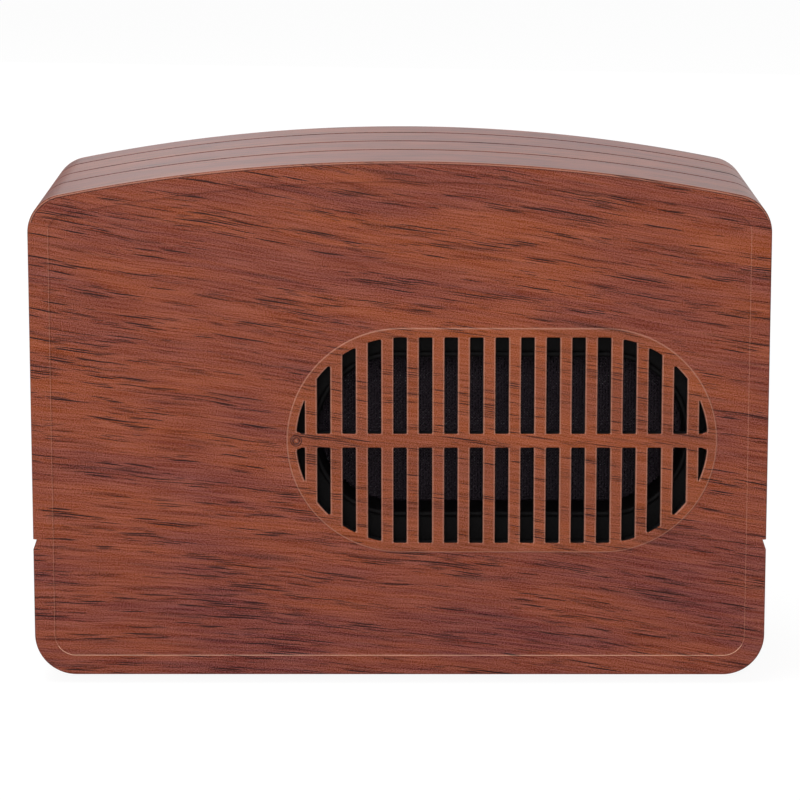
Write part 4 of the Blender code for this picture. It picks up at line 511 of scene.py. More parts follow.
def rosewoodFilm(tree, light, deep, depth):
    # Wood print on a film over moulded ABS, under a satin lacquer: red-brown ground with soft purple bands,
    # fine fibre lines, and dark pores 4 to 30 mm long and under half a millimetre high. Depth is how strongly
    # all of these show.
    uv = put(tree, "UVMap", uv_map="grain")
    x, z = put(tree, "SeparateXYZ", (uv,)).node.outputs[:2]
    # grain height = z + slope(z) * x + sag * x * x, less of it higher up
    # on the girth, whose z lies far below, it runs straight
    across = maths(tree, "WRAP", x, wood["period"], -wood["period"])
    slope = remap(tree, z, 0.02, 0.16, wood["slopeLow"], wood["slopeHigh"])
    sag = remap(tree, z, 0.02, 0.12, wood["sag"], 0.0)
    bend = maths(tree, "MULTIPLY_ADD", across, sag, slope)
    bend = maths(tree, "MULTIPLY", bend, maths(tree, "GREATER_THAN", z, -0.5))
    lines = maths(tree, "MULTIPLY_ADD", across, bend, z)
    flow = put(tree, "CombineXYZ", (x, lines))
    for scale, high in (wood["swell"], wood["ripple"]):
        lines = maths(tree, "MULTIPLY_ADD", noise(tree, flow, scale, 2.0, "2D"), high, lines)
    flow = put(tree, "CombineXYZ", (x, lines))
    layers = {}
    for name, (length, high, detail, shift) in wood["layers"].items():
        size = (1 / (length * mm), 1 / (high * mm), 1)
        highlit = put(tree, "Mapping", {"Vector": flow, "Location": (shift, shift, 0), "Scale": size})
        layers[name] = noise(tree, highlit, 1.0, detail, "2D")
    soft = {"interpolation_type": "SMOOTHSTEP"}

    tone = maths(tree, "ADD", remap(tree, layers["band"], *wood["bandShare"], **soft),
                 remap(tree, layers["stripe"], *wood["stripeShare"]))
    # painted shade: the deep tone grows towards the foot
    ground = blend(tree, maths(tree, "ADD", tone, remap(tree, z, *wood["footShadeShare"])), light, deep)
    dip = remap(tree, layers["smear"], *wood["smearShare"], 1.0, 1 - wood["smearDip"] * depth, **soft)
    ground = scaled(tree, ground, dip)
    fuzz = noise(tree, uv, wood["fuzz"], 1.0, "2D")
    fibre, speck = remap(tree, layers["fibre"], 0.3, 0.7, -depth, depth), remap(tree, fuzz, 0.25, 0.75, -depth, depth)
    for value, tint in ((fibre, wood["fibreTint"]), (speck, wood["speckTint"])):
        ground = put(tree, "VectorMath", (value, tint, ground), operation="MULTIPLY_ADD")

    crowd = remap(tree, layers["crowd"], *wood["crowding"], **soft)
    longOnes = poreLayer(tree, x, lines, wood["longPore"], crowd)
    shortOnes = poreLayer(tree, x, lines, wood["shortPore"], maths(tree, "MULTIPLY", crowd, wood["shortFewer"]))
    shortOnes = maths(tree, "MULTIPLY", shortOnes, wood["shortPaler"])
    pores = maths(tree, "MULTIPLY", maths(tree, "MAXIMUM", longOnes, shortOnes), depth)
    return {"Base Color": blend(tree, pores, ground, wood["pore"]), "IOR": 1.46, "Specular IOR Level": 0.2,
            "Roughness": remap(tree, fuzz, 0.2, 0.8, *wood["gloss"]), "Normal": bump(tree, fuzz, 0.1, 0.02)}


def sparkedBlack(tree, colour, roughness, texture, depth, sheen=0.5):
    # Black ABS moulded in a spark-eroded tool: an even, faintly blue black with a fine pebble that breaks its sheen.
    pebble = noise(tree, own(tree), 1 / (texture * mm), 3.0)
    tint = remap(tree, noise(tree, own(tree), 35.0), 0.2, 0.8, 0.8, 1.2)
    return {"Base Color": scaled(tree, linear(colour)[:3], tint),
            "Roughness": remap(tree, pebble, 0.3, 0.7, roughness - 0.06, roughness + 0.06),
            "Normal": bump(tree, pebble, 0.4, depth), "IOR": 1.53, "Specular IOR Level": sheen}


film = finish("printedRosewoodFilm", rosewoodFilm, *wood["face"], 1.0)
grilleFilm = finish("rosewoodFilmOnBars", rosewoodFilm, *wood["grille"], 0.9)
# darker and paler copies of the film for painted light: painted shade, a painted highlight on edges and the brightest
# painted highlight on the step that faces up
shadeFilm = finish("rosewoodFilmPaintedShade", rosewoodFilm, *wood["hollowShade"], 0.5)
edgeHighlightFilm = finish("rosewoodFilmPaintedHighlight", rosewoodFilm, *wood["edge"], 0.55)
ledgeHighlightFilm = finish("rosewoodFilmBrightestHighlight", rosewoodFilm, *wood["ledge"], 0.4)
blackAbs = finish("sparkErodedBlackAbs", sparkedBlack, "161518", 0.5, 0.5, 0.04)
print("finishes are mixed")

# The three shells of the case

case = {
    "crown": 583 * mm,
    "topCorner": 13.2 * mm,
    "bottomCorner": 14.1 * mm,
    "arris": 0.7 * mm,
    "wall": 2.4 * mm,
    "ledge": 47.6 * mm,  # finger ledge low on both sides
    "ledgeHeight": 3.6 * mm,
    "ledgeDepth": 1.2 * mm,
    "grooves": (32.4 * mm, 57.2 * mm, 82.4 * mm),  # behind the front face; the first and last are seams
    "grooveWidth": 1.8 * mm,
    "grooveDepth": 0.6 * mm,
    "grooveRound": 0.12 * mm,
    "flank": 0.3 * mm,
    "seam": 0.03 * mm,  # half the gap that shows between two shells
    "shadeStrip": 0.35 * mm,  # width of the strip of painted shade on the face under the crown's front edge
    # width of the painted highlight on the crown behind the arris
    "highlightStrip": 0.4 * mm,
}
corners = ("lower_left", "lower_right", "upper_left", "upper_right")
caseWidth, caseDepth = cadBounds[1][0] - cadBounds[0][0], rearY - faceY
caseHeight = cadBounds[1][2] - underside


def caseOutline():
    # Flat underside, corner arcs, upright sides with a sloping ledge cut in them, and one long crown arc, each
    # point with its normal, its share in the grooves and its share in the ledge.
    half, crown, low, top = caseWidth / 2, case["crown"], case["bottomCorner"], case["topCorner"]
    centre = caseHeight - crown
    cornerX = half - top
    cornerZ = centre + math.sqrt((crown - top) ** 2 - cornerX**2)
    lean = math.atan2(cornerZ - centre, cornerX)
    foot = case["ledge"] - case["ledgeHeight"]
    up = foot + np.array([-4, 0, 0.4, 1.2, 2, 2.8, 3.3, 3.5, 3.56, 3.62, 3.7, 4, 7]) * mm
    turns = chain([np.linspace(-math.pi / 2, 0, 20), np.zeros(len(up)), np.linspace(0, lean, 20),
                   np.linspace(lean, math.pi / 2, 60)[1:]])
    right = chain([arc(half - low, low, low, -math.pi / 2, 0, 20), columns(half, up),
                   arc(cornerX, cornerZ, top, 0, lean, 20), arc(0, centre, crown, lean, math.pi / 2, 60)[1:]])
    notch = np.interp(right[:, 1] - foot, np.array([0, 3.5, 3.62]) * mm, [0, 1, 0])
    grooved = np.interp(right[:, 1] - foot, np.array([3.6, 3.7]) * mm, [0, 1])
    normals = columns(np.cos(turns), np.sin(turns))
    back = slice(-2, None, -1)
    line = chain([right, right[back] * (-1, 1)]) + (0, underside)
    normals = chain([normals, normals[back] * (-1, 1)])
    return line, normals, chain([grooved, grooved[back]]), chain([notch, notch[back]])


caseLine, caseNormals, caseGrooved, caseNotch = caseOutline()
girth = chain([[0], np.cumsum(np.linalg.norm(np.diff(caseLine, axis=0, append=caseLine[:1]), axis=1))])
underCrown = caseNormals[:, 1] > 0.3


def caseAt(inset):
    return caseLine - caseNormals * inset


def grainAhead(flat):
    return flat


def grainBehind(flat):
    return flat * (-1, 1) + (1.0, 0)


def sweepCase(profile, slot=0, grain=None, wrap=True):
    # carries rows of (depth, inset, groove, notch) round the case; grain runs along the girth, or on a face's plane
    y, inset, groove, notch = np.asarray(profile, float).T[..., None]
    inset = inset + groove * caseGrooved + notch * caseNotch
    flat = caseLine[None] - caseNormals[None] * inset[..., None]
    uv = None
    if grain == "girth":
        uv = columns(girth, -1 - y)
    elif grain:
        uv = grain(chain([flat, flat[:, :1]], 1))
    return skin(columns(flat[..., 0], faceY + y, flat[..., 1]), wrap, uv, slot)


def plainRows(rows):
    # rows of (depth, inset) that neither the grooves nor the ledge reach
    rows = np.asarray(rows, float)
    return columns(rows[:, 0], rows[:, 1], 0, 0)


def grooveRows(y, side):
    # half a groove, from its lip to the seam in its middle; side is -1 before the seam and 1 behind it
    lip, deep, soft = y + side * case["grooveWidth"] / 2, case["grooveDepth"], case["grooveRound"]
    line = rounded([(lip + side * soft * 2, 0), (lip, 0), (lip - side * case["flank"], deep),
                    (y + side * case["seam"], deep)], soft, 3, False)
    return columns(line[:, 0], 0, line[:, 1], case["ledgeDepth"])


def arrisRows(y, into):
    # the quarter round between a face and the girth, from the face outwards
    line = lipRows(y, into, case["arris"], 7)
    return columns(line[:, 0], -line[:, 1], 0, case["ledgeDepth"])


def grooveSlots(rows, hollowShade, wrap=1):
    # painted shade: the film is darker in the grooves, which end at the ledge
    deep = (rows[1:, 2] + rows[:-1, 2]) / 2 > case["grooveDepth"] * 0.3
    grooved = caseGrooved[:len(caseLine) - 1 + wrap] > 0.5
    return np.where(deep[:, None] & grooved, hollowShade, 0).ravel()


front = {
    "fieldInset": 7 * mm,
    "fieldSink": 0.4 * mm,
    "apron": 0.9 * mm,  # level run of film below the field's step, and round the slots' bead
    "shoulder": 0.7 * mm,  # and above it
    "lean": 0.1 * mm,  # of the step, to the outside
    "stepRound": 0.3 * mm,
    "plate": 2.6 * mm,
    "grillePlate": 5.4 * mm,
    "slotsLength": 139.5 * mm,
    "slotsHeight": 71.1 * mm,
    "rightMargin": 20.6 * mm,
    "slotsUp": 81.9 * mm,
    "columns": 8,  # on each side of the middle one
    "pitch": 8.63 * mm,
    "slot": 4.5 * mm,
    "crossBar": 4.8 * mm,
    "boss": 3.0 * mm,
    "rim": 3.1 * mm,  # level border round the slots
    "bead": ((0.6, 0), (0.05, 0.4), (-0.25, 0.15), (-0.9, 0)),  # its edge: offset and rounding in mm
    "edge": 0.5 * mm,  # rounding of each slot's edge
    "slotCorner": 0.45 * mm,
    "sliverCorners": np.array([0.3, 0.15, 0.15, 0.1]) * mm,
    "sliverEnds": (0.12, 0.02),  # angles that part its two arcs: from the boss's top, and from each other
    "ring": 2.45 * mm,  # radius of the turned mark at the left end of the cross bar
    # its rows of depth, radius and rounding in mm: two crests and a middle dot between grooves
    "dish": np.array([(0, 2.45, 0), (0, 2.3, 0.15), (0.26, 1.95, 0.12), (0.02, 1.5, 0.25), (0.26, 0.85, 0.2),
                      (0.02, 0.3, 0)]) * mm,
}
grilleX = caseWidth / 2 - front["rightMargin"] - front["slotsLength"] / 2
grilleZ = underside + front["slotsUp"]


def slotOutlines():
    # A column is a slot above and one below the cross bar, cut off by the stadium. The end columns are slivers,
    # cut round by the bosses at the ends of the cross bar.
    half, radius = front["slotsLength"] / 2, front["slotsHeight"] / 2
    straight, bar, boss = half - radius, front["crossBar"] / 2, front["boss"]
    outlines = []
    for column in range(-front["columns"], front["columns"] + 1):
        near = abs(column) * front["pitch"] - front["slot"] / 2
        far = near + front["slot"]
        if far < half:
            x = np.linspace(far, near, 6 if far > straight else 2)
            top = np.sqrt(radius**2 - np.maximum(np.abs(x) - straight, 0) ** 2)
            line = chain([[(near, bar), (far, bar)], columns(x, top)])
            radii = np.zeros(len(line))
            radii[[0, 1, 2, -1]] = front["slotCorner"]
        else:
            past, short = front["sliverEnds"]
            bend = arc(half, 0, boss, math.pi - math.asin(bar / boss), math.pi / 2 + past, 6)
            reach = math.sqrt(radius**2 - (near - straight) ** 2)
            low = math.atan2(bend[-1, 1], bend[-1, 0] - straight)
            line = chain([[(near, bar)], bend,
                          arc(straight, 0, radius, low + short, math.atan2(reach, near - straight), 12)])
            radii = np.zeros(len(line))
            radii[[0, 6, 7, -1]] = front["sliverCorners"]
        line = rounded(line, radii)
        outlines += [facingUp(line * (1 if column >= 0 else -1, up)) + (grilleX, grilleZ) for up in (1, -1)]
    return outlines


def frontShell():
    # slots: 0 film, 1 bare black, 2 painted edge highlight, 3 bars, 4 painted shade, 5 brightest painted highlight
    sink, edge, inset, apron = front["fieldSink"], front["edge"], front["fieldInset"], front["apron"]
    wall, plate, rim = case["wall"], front["plate"], front["rim"]
    arris, seam = arrisRows(0, 1), grooveRows(case["grooves"][0], -1)
    step = rounded([(sink, inset + apron), (sink, inset + sink), (0, inset - front["lean"]),
                    (0, inset - front["shoulder"])], front["stepRound"], 5, False)
    # painted light on the step: the brightest painted highlight where it faces up, a paler painted highlight at the
    # sides and painted shade where it faces down
    pale = np.select([caseNormals[:, 1] < -0.5, ~underCrown], [5, 2], 4)
    # under the crown the arris gets two bands of painted highlight with painted shade between them, the face gets a
    # strip of painted shade where it meets the arris, and the painted highlight runs on a little way onto the crown
    none, highlit, shaded = underCrown * 0, underCrown * 2, underCrown * 4
    shadeStrip = arris[:1] + (0, case["shadeStrip"], 0, 0)
    highlightStrip = arris[-1:] + (case["highlightStrip"], 0, 0, 0)
    surfaces = [
        sweepCase(plainRows(step[:-5]), 0, grainAhead),
        sweepCase(plainRows(step[-6:-1]), np.tile(pale, 4), grainAhead),
        sweepCase(chain([plainRows(step[-2:]), shadeStrip, arris[:4]]),
                  chain([none, none, shaded, highlit, highlit, none]), grainAhead),
        sweepCase(chain([arris[3:], highlightStrip, seam[:1]]),
                  chain([shaded, highlit, highlit, highlit, none]), "girth"),
        sweepCase(seam, grooveSlots(seam, 4), "girth"),
        sweepCase([seam[-1], (seam[-1][0], wall, 0, 0), (plate, wall, 0, 0)], 1),
    ]
    slots = stadium(grilleX, grilleZ, front["slotsLength"], front["slotsHeight"], 48)
    offsets, rounds = np.array(front["bead"]).T * mm
    bead = rounded(columns(faceY + np.array([0, 0, sink, sink]), offsets - rim), rounds, 6, False)
    # the bead's rounded edge wears the painted edge highlight
    surfaces += [sweep(slots, bead[first:last], slot, grainAhead)
                 for first, last, slot in ((0, 2, 3), (1, -7, 2), (-8, None, 0))]
    surfaces.append(level(faceY + sink, caseAt(inset + apron), [spread(slots, rim + apron)], 0, grainAhead))

    openings = slotOutlines()
    wider = [spread(line, edge) for line in openings]
    mark = circle(grilleX - front["slotsLength"] / 2, grilleZ, front["ring"], 40)
    surfaces.append(level(faceY, spread(slots, rim - offsets[0]), wider + [mark], 3, grainAhead))
    dish = rounded(front["dish"][:, :2], front["dish"][:, 2], closed=False)
    # painted shade in the ring mark's grooves, and the painted edge highlight on its middle dot
    hollowShade = np.repeat(np.where((dish[1:, 0] + dish[:-1, 0]) / 2 > front["dish"][:, 0].max() / 2, 4, 3), len(mark))
    surfaces.append(sweep(mark, columns(faceY + dish[:, 0], front["ring"] - dish[:, 1]), hollowShade, grainAhead))
    surfaces.append(level(faceY + dish[-1, 0], spread(mark, dish[-1, 1] - front["ring"]), [], 2, grainAhead))
    lip = lipRows(faceY, 1, edge)
    deep = faceY + front["grillePlate"]
    for line in openings:
        run = np.abs(np.roll(line, -1, 0) - line)
        # painted highlight on the upright sides of each slot's edge
        upright = np.tile(np.where(run[:, 1] > run[:, 0], 2, 3), len(lip) - 1)
        surfaces.append(sweep(line, lip, upright, grainAhead))
        surfaces.append(sweep(line, [(faceY + edge, 0), (deep - edge, 0), (deep, -edge)], 1))
    surfaces.append(level(deep, spread(slots, rim), wider, 1))
    surfaces.append(sweep(slots, [(deep, -rim), (faceY + plate, -rim)], 1))
    surfaces.append(level(faceY + plate, caseAt(wall), [spread(slots, rim)], 1))
    make("frontShell", surfaces, [film, blackAbs, edgeHighlightFilm, grilleFilm, shadeFilm, ledgeHighlightFilm], "front_shell")


centre = {
    "gap": 0.3 * mm,  # between the tongues and the outer shells' walls
    "tongue": 1.3 * mm,
    "reach": 3 * mm,
    "root": 5 * mm,
    "slope": 1.3 * mm,
    "bore": 4.1 * mm,  # for the plunger
}


def centreShell():
    # slots: 0 film, 1 bare black, 2 painted shade in the grooves
    wall, k = case["wall"], centre
    before, behind = grooveRows(case["grooves"][1], -1), grooveRows(case["grooves"][1], 1)
    outer = chain([grooveRows(case["grooves"][0], 1)[::-1], before[:-1], behind[:-1][::-1],
                   grooveRows(case["grooves"][2], -1)])
    tongue, root = wall + k["gap"], wall + k["gap"] + k["tongue"]
    start, end = outer[0][0], outer[-1][0]
    inner = plainRows([(end, tongue), (end + k["reach"], tongue), (end + k["reach"], root), (end - k["root"], root),
                       (end - k["root"] - k["slope"], wall), (start + k["root"] + k["slope"], wall),
                       (start + k["root"], root), (start - k["reach"], root), (start - k["reach"], tongue),
                       (start, tongue)])
    surfaces = [
        sweepCase(outer, grooveSlots(outer, 2, 0), "girth", False),
        sweepCase(chain([outer[-1:], inner[:5]]), 1),
        sweepCase(inner[4:6], 1, None, False),
        sweepCase(chain([inner[5:], outer[:1]]), 1),
    ]
    # the floor is filled apart, round the hole for the plunger
    hole = middle("tip_plunger")
    bore = circle(hole.x, hole.y, k["bore"])
    flat = caseWidth / 2 - case["bottomCorner"]
    for rows, z, slot, grain in ((outer, underside, 0, grainAhead), (inner[4:6][::-1], underside + wall, 1, None)):
        right = columns(flat, faceY + rows[:, 0])
        surfaces.append(turnTo("z", level(z, chain([right, right[::-1] * (-1, 1)]), [bore], slot, grain)))
    surfaces.append(turnTo("z", sweep(bore, [(underside, 0), (underside + wall, 0)], 1)))
    make("centreShell", surfaces, [film, blackAbs, shadeFilm], "centre_shell")


rear = {
    "plate": 2.4 * mm,
    "intake": (142 * mm, 80 * mm, 21 * mm),  # width, height, corner
    "panel": (52 * mm, 116 * mm, 10 * mm),
    "edge": 0.5 * mm,  # rounding of the openings' edges
    "border": 2 * mm,  # of the level face, inside the arris
    "well": 3.4 * mm,  # radii of the screw wells, their bores and the tubes round them
    "bore": 1.8 * mm,
    "tube": 4.6 * mm,
    "seat": 60 * mm,  # behind the front face
    "tip": 34.7 * mm,
}


def rearShell():
    # a cup: seam, girth, arris and a level rear face with the two openings and the four screw wells
    wall, floor, edge = case["wall"], caseDepth - rear["plate"], rear["edge"]
    seam, arris = grooveRows(case["grooves"][2], 1)[::-1], arrisRows(caseDepth, -1)[::-1]
    border = case["arris"] + rear["border"]
    # painted shade in the seam's groove and all round the rear arris
    surfaces = [
        sweepCase(seam, grooveSlots(seam, 2), "girth"),
        sweepCase(chain([seam[-1:], arris[:1]]), 0, "girth"),
        sweepCase(arris[:4], 2, "girth"),
        sweepCase(arris[3:], 2, grainBehind),
        sweepCase(chain([arris[-1:], plainRows([(caseDepth, border)])]), 0, grainBehind),
        sweepCase([seam[0], (seam[0][0], wall, 0, 0), (floor, wall, 0, 0)], 1),
    ]
    holes = [roundedBox(middle(node).x, middle(node).z, *rear[name])
             for node, name in (("intake_grille", "intake"), ("control_panel", "panel"))]
    screws = [middle(f"case_screw_{corner}") for corner in corners]
    wells = [circle(at.x, at.z, rear["well"]) for at in screws]
    surfaces += [sweep(hole, lipRows(rearY, -1, edge), 0, grainBehind) for hole in holes + wells]
    surfaces.append(level(rearY, caseAt(border), [spread(hole, edge) for hole in holes + wells], 0, grainBehind))
    surfaces += [sweep(hole, [(rearY - edge, 0), (faceY + floor, 0)], 1) for hole in holes]
    outer, inner = rear["well"] - rear["tube"], rear["well"] - rear["bore"]
    seat, tip = faceY + rear["seat"], faceY + rear["tip"]
    tube = [(rearY - edge, 0), (seat, 0), (seat, inner), (tip, inner), (tip, outer), (faceY + floor, outer)]
    surfaces += [sweep(well, tube, 1) for well in wells]
    surfaces.append(level(faceY + floor, caseAt(wall), holes + [spread(well, -outer) for well in wells], 1))
    make("rearShell", surfaces, [film, blackAbs, shadeFilm], "rear_shell")


frontShell()
centreShell()
rearShell()
print("the three shells are made")

# Feet, and the screws


def rubber(tree):
    # Moulded EPDM: matt near-black with a grey bloom and a few caught dust specks.
    where = own(tree)
    bloom = noise(tree, where, 180.0, 4.0)
    dust = remap(tree, put(tree, "TexVoronoi", {"Vector": where, "Scale": 900.0}), 0.05, 0.16, 0.5, 0.0)
    tone = maths(tree, "ADD", remap(tree, bloom, 0.3, 0.7, 0.0, 0.5), dust)
    return {"Base Color": blend(tree, tone, "1a1a1b", "3b3a38"), "Roughness": remap(tree, bloom, 0.3, 0.7, 0.72, 0.88),
            "Normal": bump(tree, noise(tree, where, 2500.0), 0.4, 0.03)}


def zincScrews(tree):
    # Zinc-plated, blue-passivated steel, headed cold: bright grey, cool and warm in clouds, with fine scratches.
    cloud, scratch = noise(tree, own(tree), 420.0, 3.0), noise(tree, own(tree), 3000.0)
    return {"Base Color": blend(tree, cloud, "b4bac2", "d2cfc6"), "Metallic": 1.0,
            "Roughness": remap(tree, scratch, 0.3, 0.7, 0.22, 0.38), "Normal": bump(tree, scratch, 0.25, 0.01)}


mattRubber = finish("mattEpdmRubber", rubber)
bluePassivate = finish("bluePassivatedZinc", zincScrews)
foot = {
    # radius, height and rounding in mm: a dished tread, a ring groove and the pad; the stem stands on it
    "pad": [(0, 0.5, 0), (2.2, 0.5, 0.2), (2.7, 0, 0.2), (3.9, 0, 0.2), (4.2, 0.5, 0.15), (4.8, 0.5, 0.15),
            (5.1, 0, 0.2), (6.4, 0, 0.5), (7, 1.1, 0.6), (7, 2.7, 0.3), (2.7, 2.7, 0.1)],
    "stem": 2.7,
    "chamfer": 0.6,
}
screw = {
    "radius": 1.5 * mm,
    "head": 2.8 * mm,
    "rise": 1.8 * mm,
    "dome": 0.42,  # share of the rise that the head falls from its middle to its rim
    "side": ((0, 0.58), (0.02, 0.3), (0, 0)),  # past the head's radius in mm, and share of the rise
    "sideRound": 0.12 * mm,
    "armLength": 1.75 * mm,
    "armWidth": 0.42 * mm,
    "armSoft": 0.12 * mm,
    "recess": 1.1 * mm,
    "recessTaper": 0.55,
    "pitch": 1.1 * mm,
    "threadDepth": 0.3 * mm,
    "threadThin": 0.12,  # share of the radius that the threaded length loses
    "threadLength": 14 * mm,
    "runOut": 2 * mm,
    "point": 1.6 * mm,
}


def feet():
    for side in ("front_left", "front_right", "rear_left", "rear_right"):
        low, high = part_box(f"foot_{side}")
        tall, stem, chamfer = (high.z - low.z) / mm, foot["stem"], foot["chamfer"]
        rows = foot["pad"] + [(stem, tall - chamfer, 0.2), (stem - chamfer, tall, 0.2), (0, tall, 0)]
        rows, at = np.array(rows) * mm, (low + high) / 2
        pad = lathe(rows[:, :2], rows[:, 2], "z", (at.x, at.y, low.z), 56, steps=3)
        make(f"foot.{side}", [pad], [mattRubber], f"foot_{side}")


def panScrew(length):
    # Head: height = rise * (1 - dome (r / R)^4), less the cross recess, which is deepest in the middle and
    # follows two crossed arms. Shank: radius swings with a helix, 1 turn each pitch, on the threaded length.
    k, turn = screw, np.linspace(0, 2 * math.pi, 72, endpoint=False)[None]
    r = np.linspace(0, 1, 30)[:, None] ** 0.8 * k["head"]
    x, z = r * np.cos(turn), r * np.sin(turn)
    arm, reach = np.minimum(np.abs(x), np.abs(z)), np.maximum(np.abs(x), np.abs(z)) / k["armLength"]
    inArm = np.clip((k["armWidth"] - arm) / k["armSoft"] + 0.5, 0, 1)
    cut = k["recess"] * inArm * np.clip((1 - reach) * 4, 0, 1) * (1 - k["recessTaper"] * reach.clip(0, 1))
    head = skin(columns(x, k["rise"] * (1 - k["dome"] * (r / k["head"]) ** 4) - cut, z))
    side = [(k["head"] + past * mm, k["rise"] * share) for past, share in k["side"]] + [(0, 0)]
    along = np.linspace(0, 1, int(length / (k["pitch"] / 6)))[:, None] * -length
    threaded = np.clip((-along - (length - k["threadLength"])) / k["runOut"], 0, 1)
    wave = (along / k["pitch"] - turn / (2 * math.pi)) % 1
    radius = k["radius"] * (1 - k["threadThin"] * threaded)
    radius = radius + k["threadDepth"] * threaded * (2 * np.abs(wave - 0.5) - 0.5)
    radius = radius * np.clip((along + length) / k["point"], 0.02, 1)
    shank = columns(radius * np.cos(turn), along, radius * np.sin(turn))[:, ::3]
    shank = chain([shank[:1] * (0, 1, 0), shank, shank[-1:] * (0, 1, 0)])
    return [head, turned(rounded(side, k["sideRound"], 3, False), 72), skin(shank)]


def caseScrews():
    for kind in ("case_screw", "air_path_screw"):
        for corner in corners:
            node = f"{kind}_{corner}"
            low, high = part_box(node)
            seat = high.y - screw["rise"]
            surfaces = [moved(s, ((low.x + high.x) / 2, seat, (low.z + high.z) / 2)) for s in panScrew(seat - low.y)]
            make(node.replace("_", "."), surfaces, [bluePassivate], node, sharp=30, merge=1e-6)


feet()
caseScrews()
print("feet and screws are made")

# Air path: intake grille, outlet nozzle, guard, fan

intake = {
    "gap": 0.3 * mm,
    "border": 4 * mm,
    "pitch": 7.8 * mm,
    "slot": 4.4 * mm,
    "post": 4 * mm,
    "bays": 3,
    "flange": 3.2 * mm,
    "flangeDepth": 1.4 * mm,
    "edge": 0.4 * mm,
    "corner": 1.1 * mm,
}


def louvreOutlines(length, high, corner):
    # level slots in bays between upright posts, shorter where the opening's corner comes in
    half = intake["slot"] / 2
    count = int((high / 2 - half) / intake["pitch"])
    bay = (length - (intake["bays"] - 1) * intake["post"]) / intake["bays"]
    outlines = []
    for row in np.arange(-count, count + 1) * intake["pitch"]:
        over = max(abs(row) + half - (high / 2 - corner), 0)
        reach = length / 2 - corner + math.sqrt(corner**2 - over**2)
        for i in range(intake["bays"]):
            start = -length / 2 + i * (bay + intake["post"])
            left, right = max(start, -reach), min(start + bay, reach)
            box = [(left, row - half), (right, row - half), (right, row + half), (left, row + half)]
            outlines.append(rounded(box, intake["corner"]))
    return outlines


def intakeGrille():
    low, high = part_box("intake_grille")
    at = middle("intake_grille")
    length, tall, corner = rear["intake"]
    gap, border, edge, flange = intake["gap"], intake["border"], intake["edge"], intake["gap"] + intake["flange"]
    outline = roundedBox(at.x, at.z, length - 2 * gap, tall - 2 * gap, corner - gap)
    holes = louvreOutlines(length - 2 * border, tall - 2 * border, corner - border)
    holes = [hole + (at.x, at.z) for hole in holes]
    wider = [spread(hole, edge) for hole in holes]
    lip = lipRows(high.y, -1, edge, 4)
    surfaces = [sweep(hole, chain([lip, [(low.y + edge, 0), (low.y, -edge)]])) for hole in holes]
    surfaces += [
        level(high.y, spread(outline, -edge), wider),
        sweep(outline, chain([lip * (1, -1), [(low.y + intake["flangeDepth"], 0),
                                              (low.y + intake["flangeDepth"], -flange), (low.y, -flange)]])),
        level(low.y, spread(outline, flange), wider),
    ]
    make("intakeGrille", surfaces, [blackAbs], "intake_grille")


duct = {
    "mouth": (125.6 * mm, 53.7 * mm),
    "wall": 1.8 * mm,
    "flare": 1.0 * mm,
    "collarAt": 2.2 * mm,
    "collarThick": 1.2 * mm,
    "collarReach": 12 * mm,
    "flange": 2 * mm,
    "corner": 5 * mm,
    "bore": 1.8 * mm,
    "edge": 0.3 * mm,
}
satinNozzle = finish("satinMouldedNozzle", sparkedBlack, "0d080a", 0.66, 0.9, 0.015, 0.32)


def outletDuct():
    # a stadium tube with a rolled lip and a collar round it, and a rectangular flange behind it
    low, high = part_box("outlet_duct")
    at = middle("outlet_duct")
    mouth = stadium(at.x, at.z, *duct["mouth"], 40)
    wall, flare, edge = duct["wall"], duct["flare"], duct["edge"]
    turn = np.linspace(0, math.pi, 13)
    roll = columns(low.y + flare * 0.9 * (1 - np.sin(turn)), -(flare + wall * 0.6) / 2 * (1 - np.cos(turn)))
    collar, reach, ahead, back = low.y + duct["collarAt"], duct["collarReach"], high.y - duct["flange"], high.y
    collarBack = collar + duct["collarThick"]
    outer = [(collar, -wall), (collar, -reach), (collarBack, -reach), (collarBack, -wall), (ahead, -wall)]
    flange = roundedBox(at.x, at.z, high.x - low.x, high.z - low.z, duct["corner"], 6)
    screws = [middle(f"air_path_screw_{corner}") for corner in corners]
    bores = [circle(place.x, place.z, duct["bore"], 20) for place in screws]
    rim = rounded([(ahead, edge * 2), (ahead, 0), (back, 0), (back, edge * 2)], edge, 3, False)
    surfaces = [sweep(mouth, chain([[(back, 0)], roll, outer])), sweep(flange, rim),
                level(ahead, spread(flange, -edge * 2), [spread(mouth, wall)] + bores),
                level(back, spread(flange, -edge * 2), [mouth] + bores)]
    surfaces += [sweep(bore, [(ahead, 0), (back, 0)]) for bore in bores]
    make("outletDuct", surfaces, [satinNozzle], "outlet_duct")


intakeGrille()
outletDuct()
print("intake grille and outlet nozzle are made")

guard = {"pitch": 1.0 * mm, "wire": 0.74 * mm, "ease": 0.3 * mm, "ahead": 0.9 * mm}


def blackWire(tree):
    # Steel wire under a thin black dip coat: satin, with the coat's faint orange peel.
    peel = noise(tree, own(tree), 1200.0)
    return {"Base Color": blend(tree, peel, "3c333b", "463b45"), "Roughness": remap(tree, peel, 0.3, 0.7, 0.34, 0.5),
            "Normal": bump(tree, peel, 0.3, 0.02), "Specular IOR Level": 0.25}


dippedWire = finish("blackDippedWire", blackWire)


